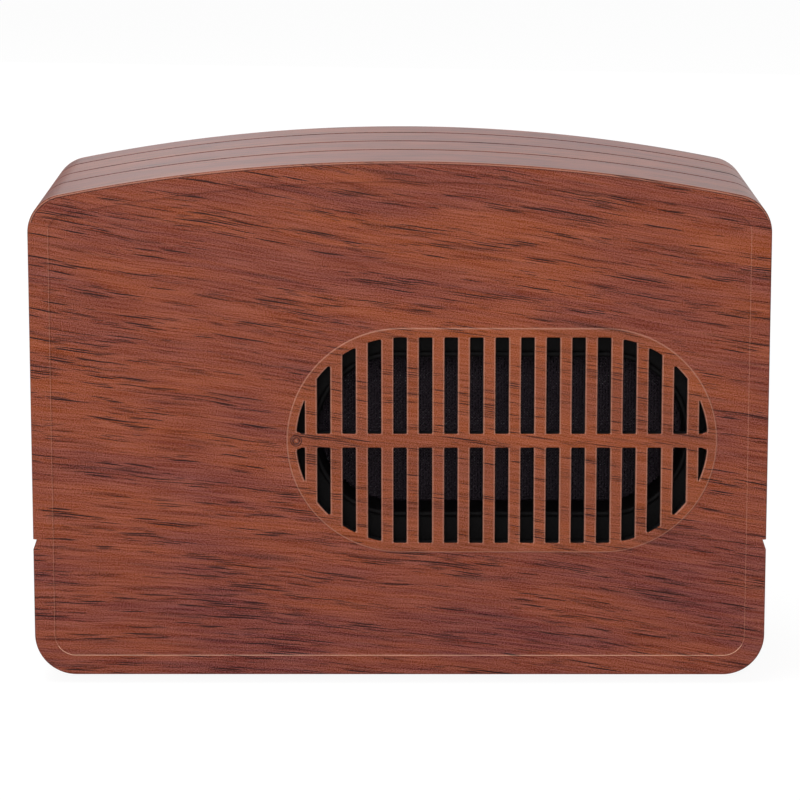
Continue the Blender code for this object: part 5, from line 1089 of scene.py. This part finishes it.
def guardMesh():
    # Plain weave across the nozzle's mouth: each wire rises and falls by half a wire as it crosses the others,
    # (-1)^(row + crossing), and ends at the stadium's edge. A wire is a square tube on edge.
    at, y = middle("guard_screen"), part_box("guard_screen")[0].y - guard["ahead"]
    pitch, half = guard["pitch"], guard["wire"] / 2
    radius = duct["mouth"][1] / 2 - guard["ease"]
    straight = (duct["mouth"][0] - duct["mouth"][1]) / 2
    counts = [int(2 * (straight + radius) / pitch), int(2 * radius / pitch)]
    square = np.array([(half, 0), (0, half), (-half, 0), (0, -half)])
    surfaces = []
    for upright in (False, True):
        crossings, rows = counts[::-1] if upright else counts
        grid = np.arange(crossings) - (crossings - 1) / 2
        for i in range(rows):
            side = (i - (rows - 1) / 2) * pitch
            over = max(abs(side) - (straight if upright else 0), 0)
            reach = (math.sqrt(radius**2 - over**2) + (0 if upright else straight)) / pitch
            near = np.abs(grid) < reach - 0.4
            along = chain([[-reach], grid[near], [reach]])[:, None] * pitch
            rise = (-1.0) ** (np.arange(crossings)[near] + i) * (-half if upright else half)
            across, out = side + square[:, 0], y + np.pad(rise, 1)[:, None] + square[:, 1]
            wire = skin(columns(at.x + across, out, at.z + along) if upright else
                        columns(at.x + along, out, at.z + across))
            ends = np.arange(4) + np.array([[0], [len(wire["points"]) - 4]])
            wire["faces"] = chain([wire["faces"], ends])
            surfaces.append(wire)
    make("guardMesh", surfaces, [dippedWire], None, "case", sharp=80, merge=1e-7)


fan = {
    "radius": 20.5 * mm,
    "blades": 16,
    "chord": 5.6 * mm,
    "tipGap": 0.4 * mm,
    "thick": 0.8 * mm,
    "bow": 1.3 * mm,
    "disc": 1.6 * mm,
    "middleRing": 8.6 * mm,  # how far in from the blades' tips it reaches
    "hub": 5 * mm,
    "hubFoot": 1 * mm,
    "hubLength": 12 * mm,
    "bore": 2.3 * mm,
    "stub": 2.2 * mm,
    "stubLength": 9.4 * mm,
    "length": 114 * mm,
    "edge": 0.4 * mm,
}
blackNylon = finish("glassFilledBlackNylon", sparkedBlack, "1b1b1d", 0.46, 0.8, 0.03)


def impeller():
    # Blades: each is bowed by 4 bow s (1 - s) from root to tip, is thick * sqrt(1 - (2 s - 1)^4) thick, and is
    # repeated round the axis. Then a disc with the hub, a middle ring, and a disc with the stub.
    k, shaft = fan, middle("motor_shaft")
    length, r, d = k["length"], k["radius"], k["disc"]
    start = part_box("impeller")[1].x - k["stubLength"] - length
    s = np.linspace(0, 1, 9)
    radial = r - k["chord"] + s * (k["chord"] - k["tipGap"])
    bow = k["bow"] * (4 * s * (1 - s)) - 0.5 * k["bow"]
    swell = k["thick"] / 2 * np.sqrt((1 - (2 * s - 1) ** 4).clip(0.03))
    u, v = chain([columns(radial, bow + swell), columns(radial, bow - swell)[::-1]]).T
    i = np.arange(len(s) - 1)
    ends = columns(i, i + 1, len(u) - 2 - i, len(u) - 1 - i)
    x = start + np.array([[0.5 * d], [length - 0.5 * d]])
    surfaces = []
    for i in range(k["blades"]):
        turn = 2 * math.pi * (i + 0.25) / k["blades"]
        cos, sin = math.cos(turn), math.sin(turn)
        blade = skin(columns(x, shaft.y + u * cos - v * sin, shaft.z + u * sin + v * cos))
        blade["faces"] = chain([blade["faces"], ends, ends + len(u)])
        surfaces.append(blade)
    bore, hub, stub, tip = k["bore"], k["hub"], k["stub"], length + k["stubLength"]
    first = [(bore, 0), (r, 0), (r, d), (hub + k["hubFoot"], d), (hub, d + k["hubFoot"]), (hub, k["hubLength"]),
             (bore, k["hubLength"])]
    inner, before, behind = r - k["middleRing"], (length - d) / 2, (length + d) / 2
    ring = [(inner, before), (r, before), (r, behind), (inner, behind)]
    last = [(0, length - d), (r, length - d), (r, length), (stub, length), (stub, tip), (0, tip)]
    surfaces += [lathe(rows, k["edge"], "x", (start, shaft.y, shaft.z), 72, closed, steps=3)
                 for rows, closed in ((first, True), (ring, True), (last, False))]
    make("impeller.blades", surfaces, [blackNylon], "impeller")


guardMesh()
impeller()
print("guard mesh and impeller are made")

# Controls on the rear

tray = {
    "floor": 10 * mm,
    "wall": 2 * mm,
    "flange": 3.2 * mm,
    "flangeDepth": 1.4 * mm,
    "lip": 2.7 * mm,
    "apron": 4 * mm,  # border of the level floor
    "rounding": np.array([0, 1.4, 0.4, 0]) * mm,
    "edge": 0.25 * mm,
    "holes": {"thermostat_knob": 5.2 * mm, "selector_knob": 5.2 * mm, "cord_gland": 6.5 * mm, "pilot_lens": 3.7 * mm},
}
dial = {
    "radius": 16.5 * mm,
    "lift": 0.8 * mm,
    "face": 5.7 * mm,
    "top": 9.7 * mm,
    "step": 1.4 * mm,  # plain foot of the skirt
    "lean": 0.8 * mm,  # how much narrower the skirt is at its top
    "shoulder": 2.2 * mm,
    "skirtRound": np.array([0, 0.3, 0.3, 0.9, 1.2, 0]) * mm,
    "flutes": 44,
    "fluteDepth": 0.35 * mm,
    "fluteSoft": 0.4 * mm,
    "gripLength": 28 * mm,
    "grip": 7 * mm,
    # the grip's side: height above the face or the top, inset and rounding in mm
    "coveFoot": [(-0.3, -0.9, 0), (0, -0.45, 0.3), (0.6, 0, 0.6), (3, 0.4, 1)],
    "coveTop": [(-0.1, 0.8, 0.9), (0, 2, 0)],
    "pointer": (8.5 * mm, 1.3 * mm),
    "pointerFromEnd": 2.6 * mm,
    "inkSink": 0.1 * mm,
    "inkLift": 0.03 * mm,
}
marks = {
    "ink": 0.04 * mm,
    "wedge": (0.12, 1.37 * math.pi, 90),  # from and to, clockwise from behind, and in how many steps
    "wedgeRadius": 17.3 * mm,
    "wedgeWidth": (0.15 * mm, 1.3 * mm),
    "figures": 4,
    "figureRadius": 18.7 * mm,
    "figureSize": 4.6 * mm,
    "figureBold": 0.1 * mm,
}
panelAt = middle("control_panel")
trayFloor = rearY - tray["floor"]


def ink(tree, colour):
    # Pad-printed ink: nearly white, matt, a little thin where the pad lifted.
    thin = noise(tree, own(tree), 1500.0, 3.0)
    return {"Base Color": scaled(tree, linear(colour)[:3], remap(tree, thin, 0.25, 0.6, 0.72, 1.0)),
            "Roughness": remap(tree, thin, 0.3, 0.7, 0.5, 0.65)}


paleInk = finish("padPrintedPaleInk", ink, "d9d7cf")
knobBlack = finish("fineTexturedKnobBlack", sparkedBlack, "1a1a1c", 0.34, 0.35, 0.02)


def controlPanel():
    wall, flange, apron, edge = tray["wall"], -tray["flange"], tray["apron"], tray["edge"]
    outline = roundedBox(panelAt.x, panelAt.z, *rear["panel"])
    ahead, lip = trayFloor - wall, rearY - tray["lip"]
    under = lip - tray["flangeDepth"]
    inner = rounded([(trayFloor, apron), (trayFloor, 0), (lip, 0), (lip, flange)], tray["rounding"], 5, False)
    outer = [(lip, flange), (under, flange), (under, -wall), (ahead, -wall), (ahead, apron)]
    holes = [circle(middle(node).x, middle(node).z, radius, 36) for node, radius in tray["holes"].items()]
    rim = rounded([(trayFloor, -edge), (trayFloor, 0), (ahead, 0)], edge * 0.95, 3, False)
    surfaces = [sweep(outline, inner), sweep(outline, outer),
                level(trayFloor, spread(outline, -apron), [spread(hole, edge) for hole in holes]),
                level(ahead, spread(outline, -apron), holes)]
    surfaces += [sweep(hole, rim) for hole in holes]
    make("controlPanel", surfaces, [blackAbs], "control_panel")


def knob(node):
    # A turned and fluted skirt; a stadium grip stands on its face, and an inked line on the grip points to the
    # left from behind.
    k, at = dial, middle(node)
    r, base, face, top, step, lean = k["radius"], k["lift"], k["face"], k["top"], k["lift"] + k["step"], k["lean"]
    rows = rounded([(0, base), (r, base), (r, step), (r - lean, face - 0.2 * mm), (r - k["shoulder"], face), (0, face)],
                   k["skirtRound"], 5, False)
    low, high = step + 0.2 * mm, face - 0.9 * mm
    between = np.linspace(low, high, 7)
    side = columns(r - lean * (between - step) / (face - 0.2 * mm - step), between)
    rows = chain([rows[rows[:, 1] < low], side, rows[rows[:, 1] > high]])
    fluted = flutes(k["flutes"], k["fluteDepth"], low, high, k["fluteSoft"], k["fluteSoft"])
    grip = stadium(0, 0, k["gripLength"], k["grip"], 20)
    cove = chain([np.array(k["coveFoot"]) * mm + (face, 0, 0), np.array(k["coveTop"]) * mm + (top, 0, 0)])
    end, cove = cove[-1, 1], rounded(cove[:, :2], cove[:, 2], 5, False)
    long, thin = k["pointer"]
    mark = stadium(k["gripLength"] / 2 - k["pointerFromEnd"] - long / 2, 0, long, thin, 10)
    sunk, lift = top - k["inkSink"], k["inkLift"]
    surfaces = [turned(rows, 352, fluted=fluted), sweep(grip, cove), level(top, spread(grip, -end)),
                level(cove[0, 0], spread(grip, -cove[0, 1])), sweep(mark, [(sunk, 0), (top + lift, lift)], 1),
                level(top + lift, spread(mark, -lift), [], 1), level(sunk, mark, [], 1)]
    surfaces = [moved(surface, (at.x, trayFloor, at.z)) for surface in surfaces]
    make(node.replace("_", "."), surfaces, [knobBlack, paleInk], node)


def figure(text, x, z):
    # one plain figure that stands on the tray's floor, seen from behind
    words = bpy.data.curves.new("number", "FONT")
    words.body, words.size, words.align_x, words.align_y = text, marks["figureSize"], "CENTER", "CENTER"
    words.extrude, words.offset = marks["ink"] / 2, marks["figureBold"]
    label = stand("number", words)
    mesh = label.evaluated_get(bpy.context.evaluated_depsgraph_get()).to_mesh()
    mesh.calc_loop_triangles()
    flat = np.array([vertex.co[:] for vertex in mesh.vertices])
    faces = np.array([face.vertices[:] for face in mesh.loop_triangles])
    label.to_mesh_clear()
    bpy.data.objects.remove(label)
    bpy.data.curves.remove(words)
    points = columns(x - flat[:, 0], trayFloor + marks["ink"] / 2 + flat[:, 2], z + flat[:, 1])
    return {"points": points, "faces": faces, "uv": None, "slot": 0}


def dialMarks():
    # a wedge that widens clockwise from behind round the thermostat, and 0 to 3 round the selector
    lift, at, radius = marks["ink"], middle("thermostat_knob"), marks["wedgeRadius"]
    turn = np.linspace(*marks["wedge"])
    ray = columns(np.cos(turn), np.sin(turn))
    grow = np.linspace(*marks["wedgeWidth"], len(turn))[:, None]
    wedge = facingUp(chain([ray * (radius + grow), (ray * radius)[::-1]]) + (at.x, at.z))
    surfaces = [level(trayFloor + lift, wedge), level(trayFloor - lift, wedge),
                sweep(wedge, [(trayFloor - lift, 0), (trayFloor + lift, 0)])]
    at, radius = middle("selector_knob"), marks["figureRadius"]
    for i in range(marks["figures"]):
        turn = i * math.pi / 4
        surfaces.append(figure(str(i), at.x + radius * math.cos(turn), at.z + radius * math.sin(turn)))
    make("dialMarks", surfaces, [paleInk], None, "case", merge=1e-7)


controlPanel()
knob("thermostat_knob")
knob("selector_knob")
dialMarks()
print("panel and knobs are made")


def redPolycarbonate(tree):
    # Clear red polycarbonate, injection moulded: deep where it is thick, with faint flow lines and a hazy skin.
    flow = noise(tree, own(tree), 700.0)
    return {"Base Color": blend(tree, flow, "b3130f", "e2362a"), "Roughness": remap(tree, flow, 0.3, 0.7, 0.08, 0.2),
            "Normal": bump(tree, flow, 0.2, 0.05), "Transmission Weight": 0.75, "IOR": 1.58}


def redAcetal(tree):
    # Red acetal, turned from rod: waxy sheen, pale rubbed haze and fine turning rings, drawn 0.2 mm apart.
    where = own(tree)
    haze = noise(tree, where, 260.0, 4.0)
    height = put(tree, "SeparateXYZ", (where,), 2)
    ring = maths(tree, "SINE", maths(tree, "MULTIPLY", height, 2 * math.pi / (0.2 * mm)))
    return {"Base Color": blend(tree, remap(tree, haze, 0.35, 0.75, 0.0, 1.0), "9c1712", "b83a30"),
            "Roughness": remap(tree, haze, 0.3, 0.7, 0.28, 0.45), "Normal": bump(tree, ring, 0.3, 0.01),
            "Subsurface Weight": 0.1, "Subsurface Scale": 1.5 * mm, "IOR": 1.48}


# The works inside


def layeredMetal(tree, pale, deep, patch, line, roughness, relief):
    # Worked metal seen close: tarnish in patches of one size, and lines left by the tool, (x, y, z) long in mm.
    # The lines move the gloss and the relief, the patches the colour.
    where = own(tree)
    cloud = noise(tree, where, 1 / (patch * mm), 3.0)
    size = tuple(1 / (length * mm) for length in line)
    lines = noise(tree, put(tree, "Mapping", {"Vector": where, "Scale": size}), 1.0)
    colour = blend(tree, remap(tree, cloud, 0.3, 0.7, 0.0, 1.0), pale, deep)
    return {"Base Color": scaled(tree, colour, remap(tree, lines, 0.3, 0.7, 0.86, 1.1)), "Metallic": 1.0,
            "Roughness": remap(tree, lines, 0.3, 0.7, *roughness), "Normal": bump(tree, lines, 0.4, relief)}


def stackedSteel(tree, sheet):
    # Silicon steel sheets, pressed and stacked along x: bare sheared edges between dark oxide coats.
    where = own(tree)
    x = put(tree, "SeparateXYZ", (where,))
    sheets = maths(tree, "MULTIPLY", x, 1 / (sheet * mm))
    share = maths(tree, "ABSOLUTE", maths(tree, "SUBTRACT", maths(tree, "FRACT", sheets), 0.5))
    joint = remap(tree, share, 0.34, 0.48, 0.0, 1.0)
    stain = noise(tree, where, 240.0, 4.0)
    tone = maths(tree, "ADD", remap(tree, chance(tree, sheets), 0, 1, 0, 0.5), stain)
    edge = blend(tree, remap(tree, tone, 0.4, 1.0, 0, 1), "8d8e91", "5f5a55")
    return {"Base Color": blend(tree, joint, edge, "1f2024"), "Roughness": remap(tree, stain, 0.3, 0.7, 0.4, 0.6),
            "Normal": bump(tree, maths(tree, "SUBTRACT", 1.0, joint), 0.7, 0.05), "Metallic": 0.9}


def enamelledWire(tree, wire):
    # Copper winding wire under clear polyurethane enamel: red-gold, glossy, each turn a little apart in tone.
    where = own(tree)
    turns = maths(tree, "MULTIPLY", put(tree, "SeparateXYZ", (where,), 1), 1 / wire)
    cloud = noise(tree, where, 500.0)
    tone = maths(tree, "MULTIPLY", chance(tree, turns), cloud)
    return {"Base Color": blend(tree, tone, "a9502a", "6b2a14"), "Roughness": remap(tree, cloud, 0.3, 0.7, 0.22, 0.36),
            "Metallic": 1.0, "Coat Weight": 0.6, "Coat Roughness": 0.12}


def mouldedResin(tree, pale, deep, fleck, roughness, relief, glow=0.0):
    # Compression-moulded or injected plastic with filler that shows as flecks of one size, and a dulled skin;
    # glow is how much light it lets under the skin.
    where = own(tree)
    flow = noise(tree, where, 120.0, 4.0)
    cells = put(tree, "TexVoronoi", {"Vector": where, "Scale": 1 / (fleck * mm), "Randomness": 1.0})
    tone = maths(tree, "ADD", remap(tree, flow, 0.3, 0.7, 0.0, 0.6), remap(tree, cells, 0.12, 0.3, 0.55, 0.0))
    return {"Base Color": blend(tree, tone, deep, pale), "Roughness": remap(tree, flow, 0.3, 0.7, *roughness),
            "Normal": bump(tree, cells, 0.3, relief), "Subsurface Weight": glow, "Subsurface Scale": 1 * mm}


coil = {"corner": 5.1 * mm, "build": 3.4 * mm, "wire": 0.42 * mm}
clearRed = finish("clearRedPolycarbonate", redPolycarbonate)
redRod = finish("turnedRedAcetal", redAcetal)
# zinc electroplate on cold-rolled sheet: cool grey, rolled along x
zincSheet = finish("zincPlatedSheet", layeredMetal, "85898c", "666b70", 7, (30, 0.3, 0.3), (0.42, 0.58), 0.01)
# extruded aluminium tube, drawn along x
drawnAluminium = finish("drawnAluminium", layeredMetal, "c6c7c9", "a3a5a9", 12, (40, 0.22, 0.22), (0.28, 0.42), 0.01)
# soft aluminium strip folded to fins, browned by the heat near the stones
finStrip = finish("foldedAluminiumStrip", layeredMetal, "bdbcba", "8f867b", 9, (0.4, 3, 3), (0.32, 0.5), 0.02)
# rolled brass strip, stamped; tarnished in clouds
stampedBrass = finish("stampedBrassStrip", layeredMetal, "c9a04f", "8b6732", 2.5, (12, 0.2, 0.2), (0.26, 0.44), 0.01)
# silver steel rod, centreless ground: rings too fine to see, drawn 0.15 mm apart
groundRod = finish("groundSteelRod", layeredMetal, "b3b5b8", "93969a", 4, (0.15, 4, 4), (0.18, 0.3), 0.005)
groundPost = finish("groundSteelPost", layeredMetal, "b3b5b8", "93969a", 4, (4, 0.15, 4), (0.18, 0.3), 0.005)
# bronze powder pressed and sintered, soaked in oil
oiled = ("8f6840", "5a3e25", 0.8, (0.25, 0.25, 0.25), (0.4, 0.62), 0.03)
sinteredBronze = finish("oiledSinteredBronze", layeredMetal, *oiled)
laminations = finish("siliconSteelStack", stackedSteel, 0.5)
windingWire = finish("enamelledCopperWire", enamelledWire, coil["wire"])
# phenolic resin with wood flour, compression moulded
phenolic = finish("woodFilledPhenolic", mouldedResin, "3a2f28", "1d1815", 0.7, (0.42, 0.6), 0.02)
# glass-filled nylon 66 in its natural colour
naturalNylon = finish("naturalGlassNylon", mouldedResin, "ddd8c8", "c5bda6", 0.35, (0.38, 0.52), 0.01, 0.12)

worn = {
    zincSheet: ("end_plate_left", "end_plate_right", "scroll_plate", "tongue_plate", "motor_bracket_left",
                "motor_bracket_right"),
    bluePassivate: ("motor_bolt_front", "motor_bolt_rear"),
    drawnAluminium: ("ptc_bar_1", "ptc_bar_2", "ptc_bar_3"),
    finStrip: ("fin_row_1", "fin_row_2", "fin_row_3", "fin_row_4"),
    stampedBrass: ("element_tab_1", "element_tab_2", "element_tab_3"),
    groundPost: ("thermostat_spindle", "selector_spindle"),
    laminations: ("motor_core", "motor_rotor"),
    phenolic: ("heater_frame", "thermal_cutout", "thermostat_body", "selector_body"),
    naturalNylon: ("coil_bobbin", "tip_switch"),
    dippedWire: ("guard_screen",),
}
for material, nodes in worn.items():
    for node in nodes:
        for slot in frame["nodes"][node].material_slots:
            slot.material = material


def winding():
    # the top layer's turns side by side: inset = r (1 - |sin(pi y / wire)|), carried round the bobbin
    low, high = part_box("coil_winding")
    at = middle("coil_winding")
    outline = roundedBox(at.x, at.z, high.x - low.x, high.z - low.z, coil["corner"], 8)
    count = int((high.y - low.y) / coil["wire"])
    along = np.linspace(0, count, count * 6 + 1)
    inset = coil["wire"] / 2 * (1 - np.abs(np.sin(math.pi * along)))
    top = columns(low.y + (high.y - low.y) * along / count, inset)
    profile = chain([top, [(high.y, coil["build"]), (low.y, coil["build"])], top[:1]])
    make("coil.winding", [sweep(outline, profile)], [windingWire], "coil_winding", sharp=60)


# Turned pieces: finish, axis and segments; rows of radius, height and rounding in mm. A ring has a bore.

lens = {
    # a domed cap with shallow facets round its shoulder, from the tray's floor to the rear
    "finish": clearRed, "axis": "y", "segments": 96, "ring": False,
    "rows": [(0, -9, 0), (3.4, -9, 0.3), (3.4, 0.3, 0.1), (4.4, 0.3, 0.2), (4.4, 1.2, 0.35), (3.4, 1.5, 0.2),
             (2.75, 2.75, 1.2), (1.4, 3.4, 1.5), (0, 3.5, 0)],
    "facets": (24, 0.12 * mm, 1.2 * mm, 3.2 * mm, 0.3 * mm, 0.6 * mm),
}
gland = {
    # a barbed tail in front of the floor, and a flanged collar behind it
    "finish": mattRubber, "axis": "y", "segments": 56, "ring": True,
    "rows": [(3.3, -8.3, 0.3), (5.6, -8.3, 0.5), (7, -3.3, 0.3), (7, -2.3, 0.2), (6.2, -2.3, 0.1), (6.2, 0.3, 0.1),
             (8.4, 0.3, 0.3), (8.4, 1.8, 0.7), (6.2, 3.4, 0.8), (3.3, 3.4, 0.5)],
}
plunger = {
    # a pin with a blunt foot, a collar and a stem, from the underside up
    "finish": redRod, "axis": "z", "segments": 48, "ring": False,
    "rows": [(0, -3, 0), (2.5, -3, 0.8), (3.5, -2, 0.8), (3.5, 6.6, 0.1), (4.8, 6.6, 0.3), (4.8, 8.2, 0.3),
             (2.5, 8.2, 0.2), (2.5, 13, 0.5), (0, 13, 0)],
}
shaftBox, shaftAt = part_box("motor_shaft"), middle("motor_shaft")
shaftLong = (shaftBox[1].x - shaftBox[0].x) / mm
shaft = {
    "finish": groundRod, "axis": "x", "segments": 40, "ring": False,
    "rows": [(0, 0, 0), (2, 0, 0.5), (2, shaftLong, 0.2), (0, shaftLong, 0)],
}
bush = {
    # flanged; the left one faces the other way
    "finish": sinteredBronze, "axis": "x", "segments": 44, "ring": True,
    "rows": [(2.3, 0, 0.2), (4.9, 0, 0.25), (4.9, 1.2, 0.2), (3.7, 1.2, 0.1), (3.7, 3.7, 0.3), (2.3, 3.7, 0.2)],
}
rubberBush = {
    "finish": mattRubber, "axis": "x", "segments": 44, "ring": True,
    "rows": [(2.6, 0, 0.3), (6, 0, 0.3), (6, 2.1, 0.1), (8.5, 2.1, 0.4), (8.5, 3.7, 0.4), (6, 6.1, 0.6),
             (2.6, 6.1, 0.4)],
}


def turnedPiece(node, piece, at, way=1):
    # way is -1 for a piece that runs down its axis from the point
    rows = np.array(piece["rows"]) * mm * (1, way, 1)
    fluted = flutes(*piece["facets"]) if "facets" in piece else None
    surface = lathe(rows[:, :2], rows[:, 2], piece["axis"], at, piece["segments"], piece["ring"], fluted)
    make(node.replace("_", "."), [surface], [piece["finish"]], node)


for node, piece in (("pilot_lens", lens), ("cord_gland", gland)):
    turnedPiece(node, piece, (middle(node).x, trayFloor, middle(node).z))
turnedPiece("tip_plunger", plunger, (middle("tip_plunger").x, middle("tip_plunger").y, underside))
winding()
for node, piece, end in (("motor_shaft", shaft, 0), ("bearing_right", bush, 0), ("bearing_left", bush, 1),
                         ("end_bearing", rubberBush, 0)):
    turnedPiece(node, piece, (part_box(node)[end].x, shaftAt.y, shaftAt.z), 1 - 2 * end)
print("the works inside wear their finishes")
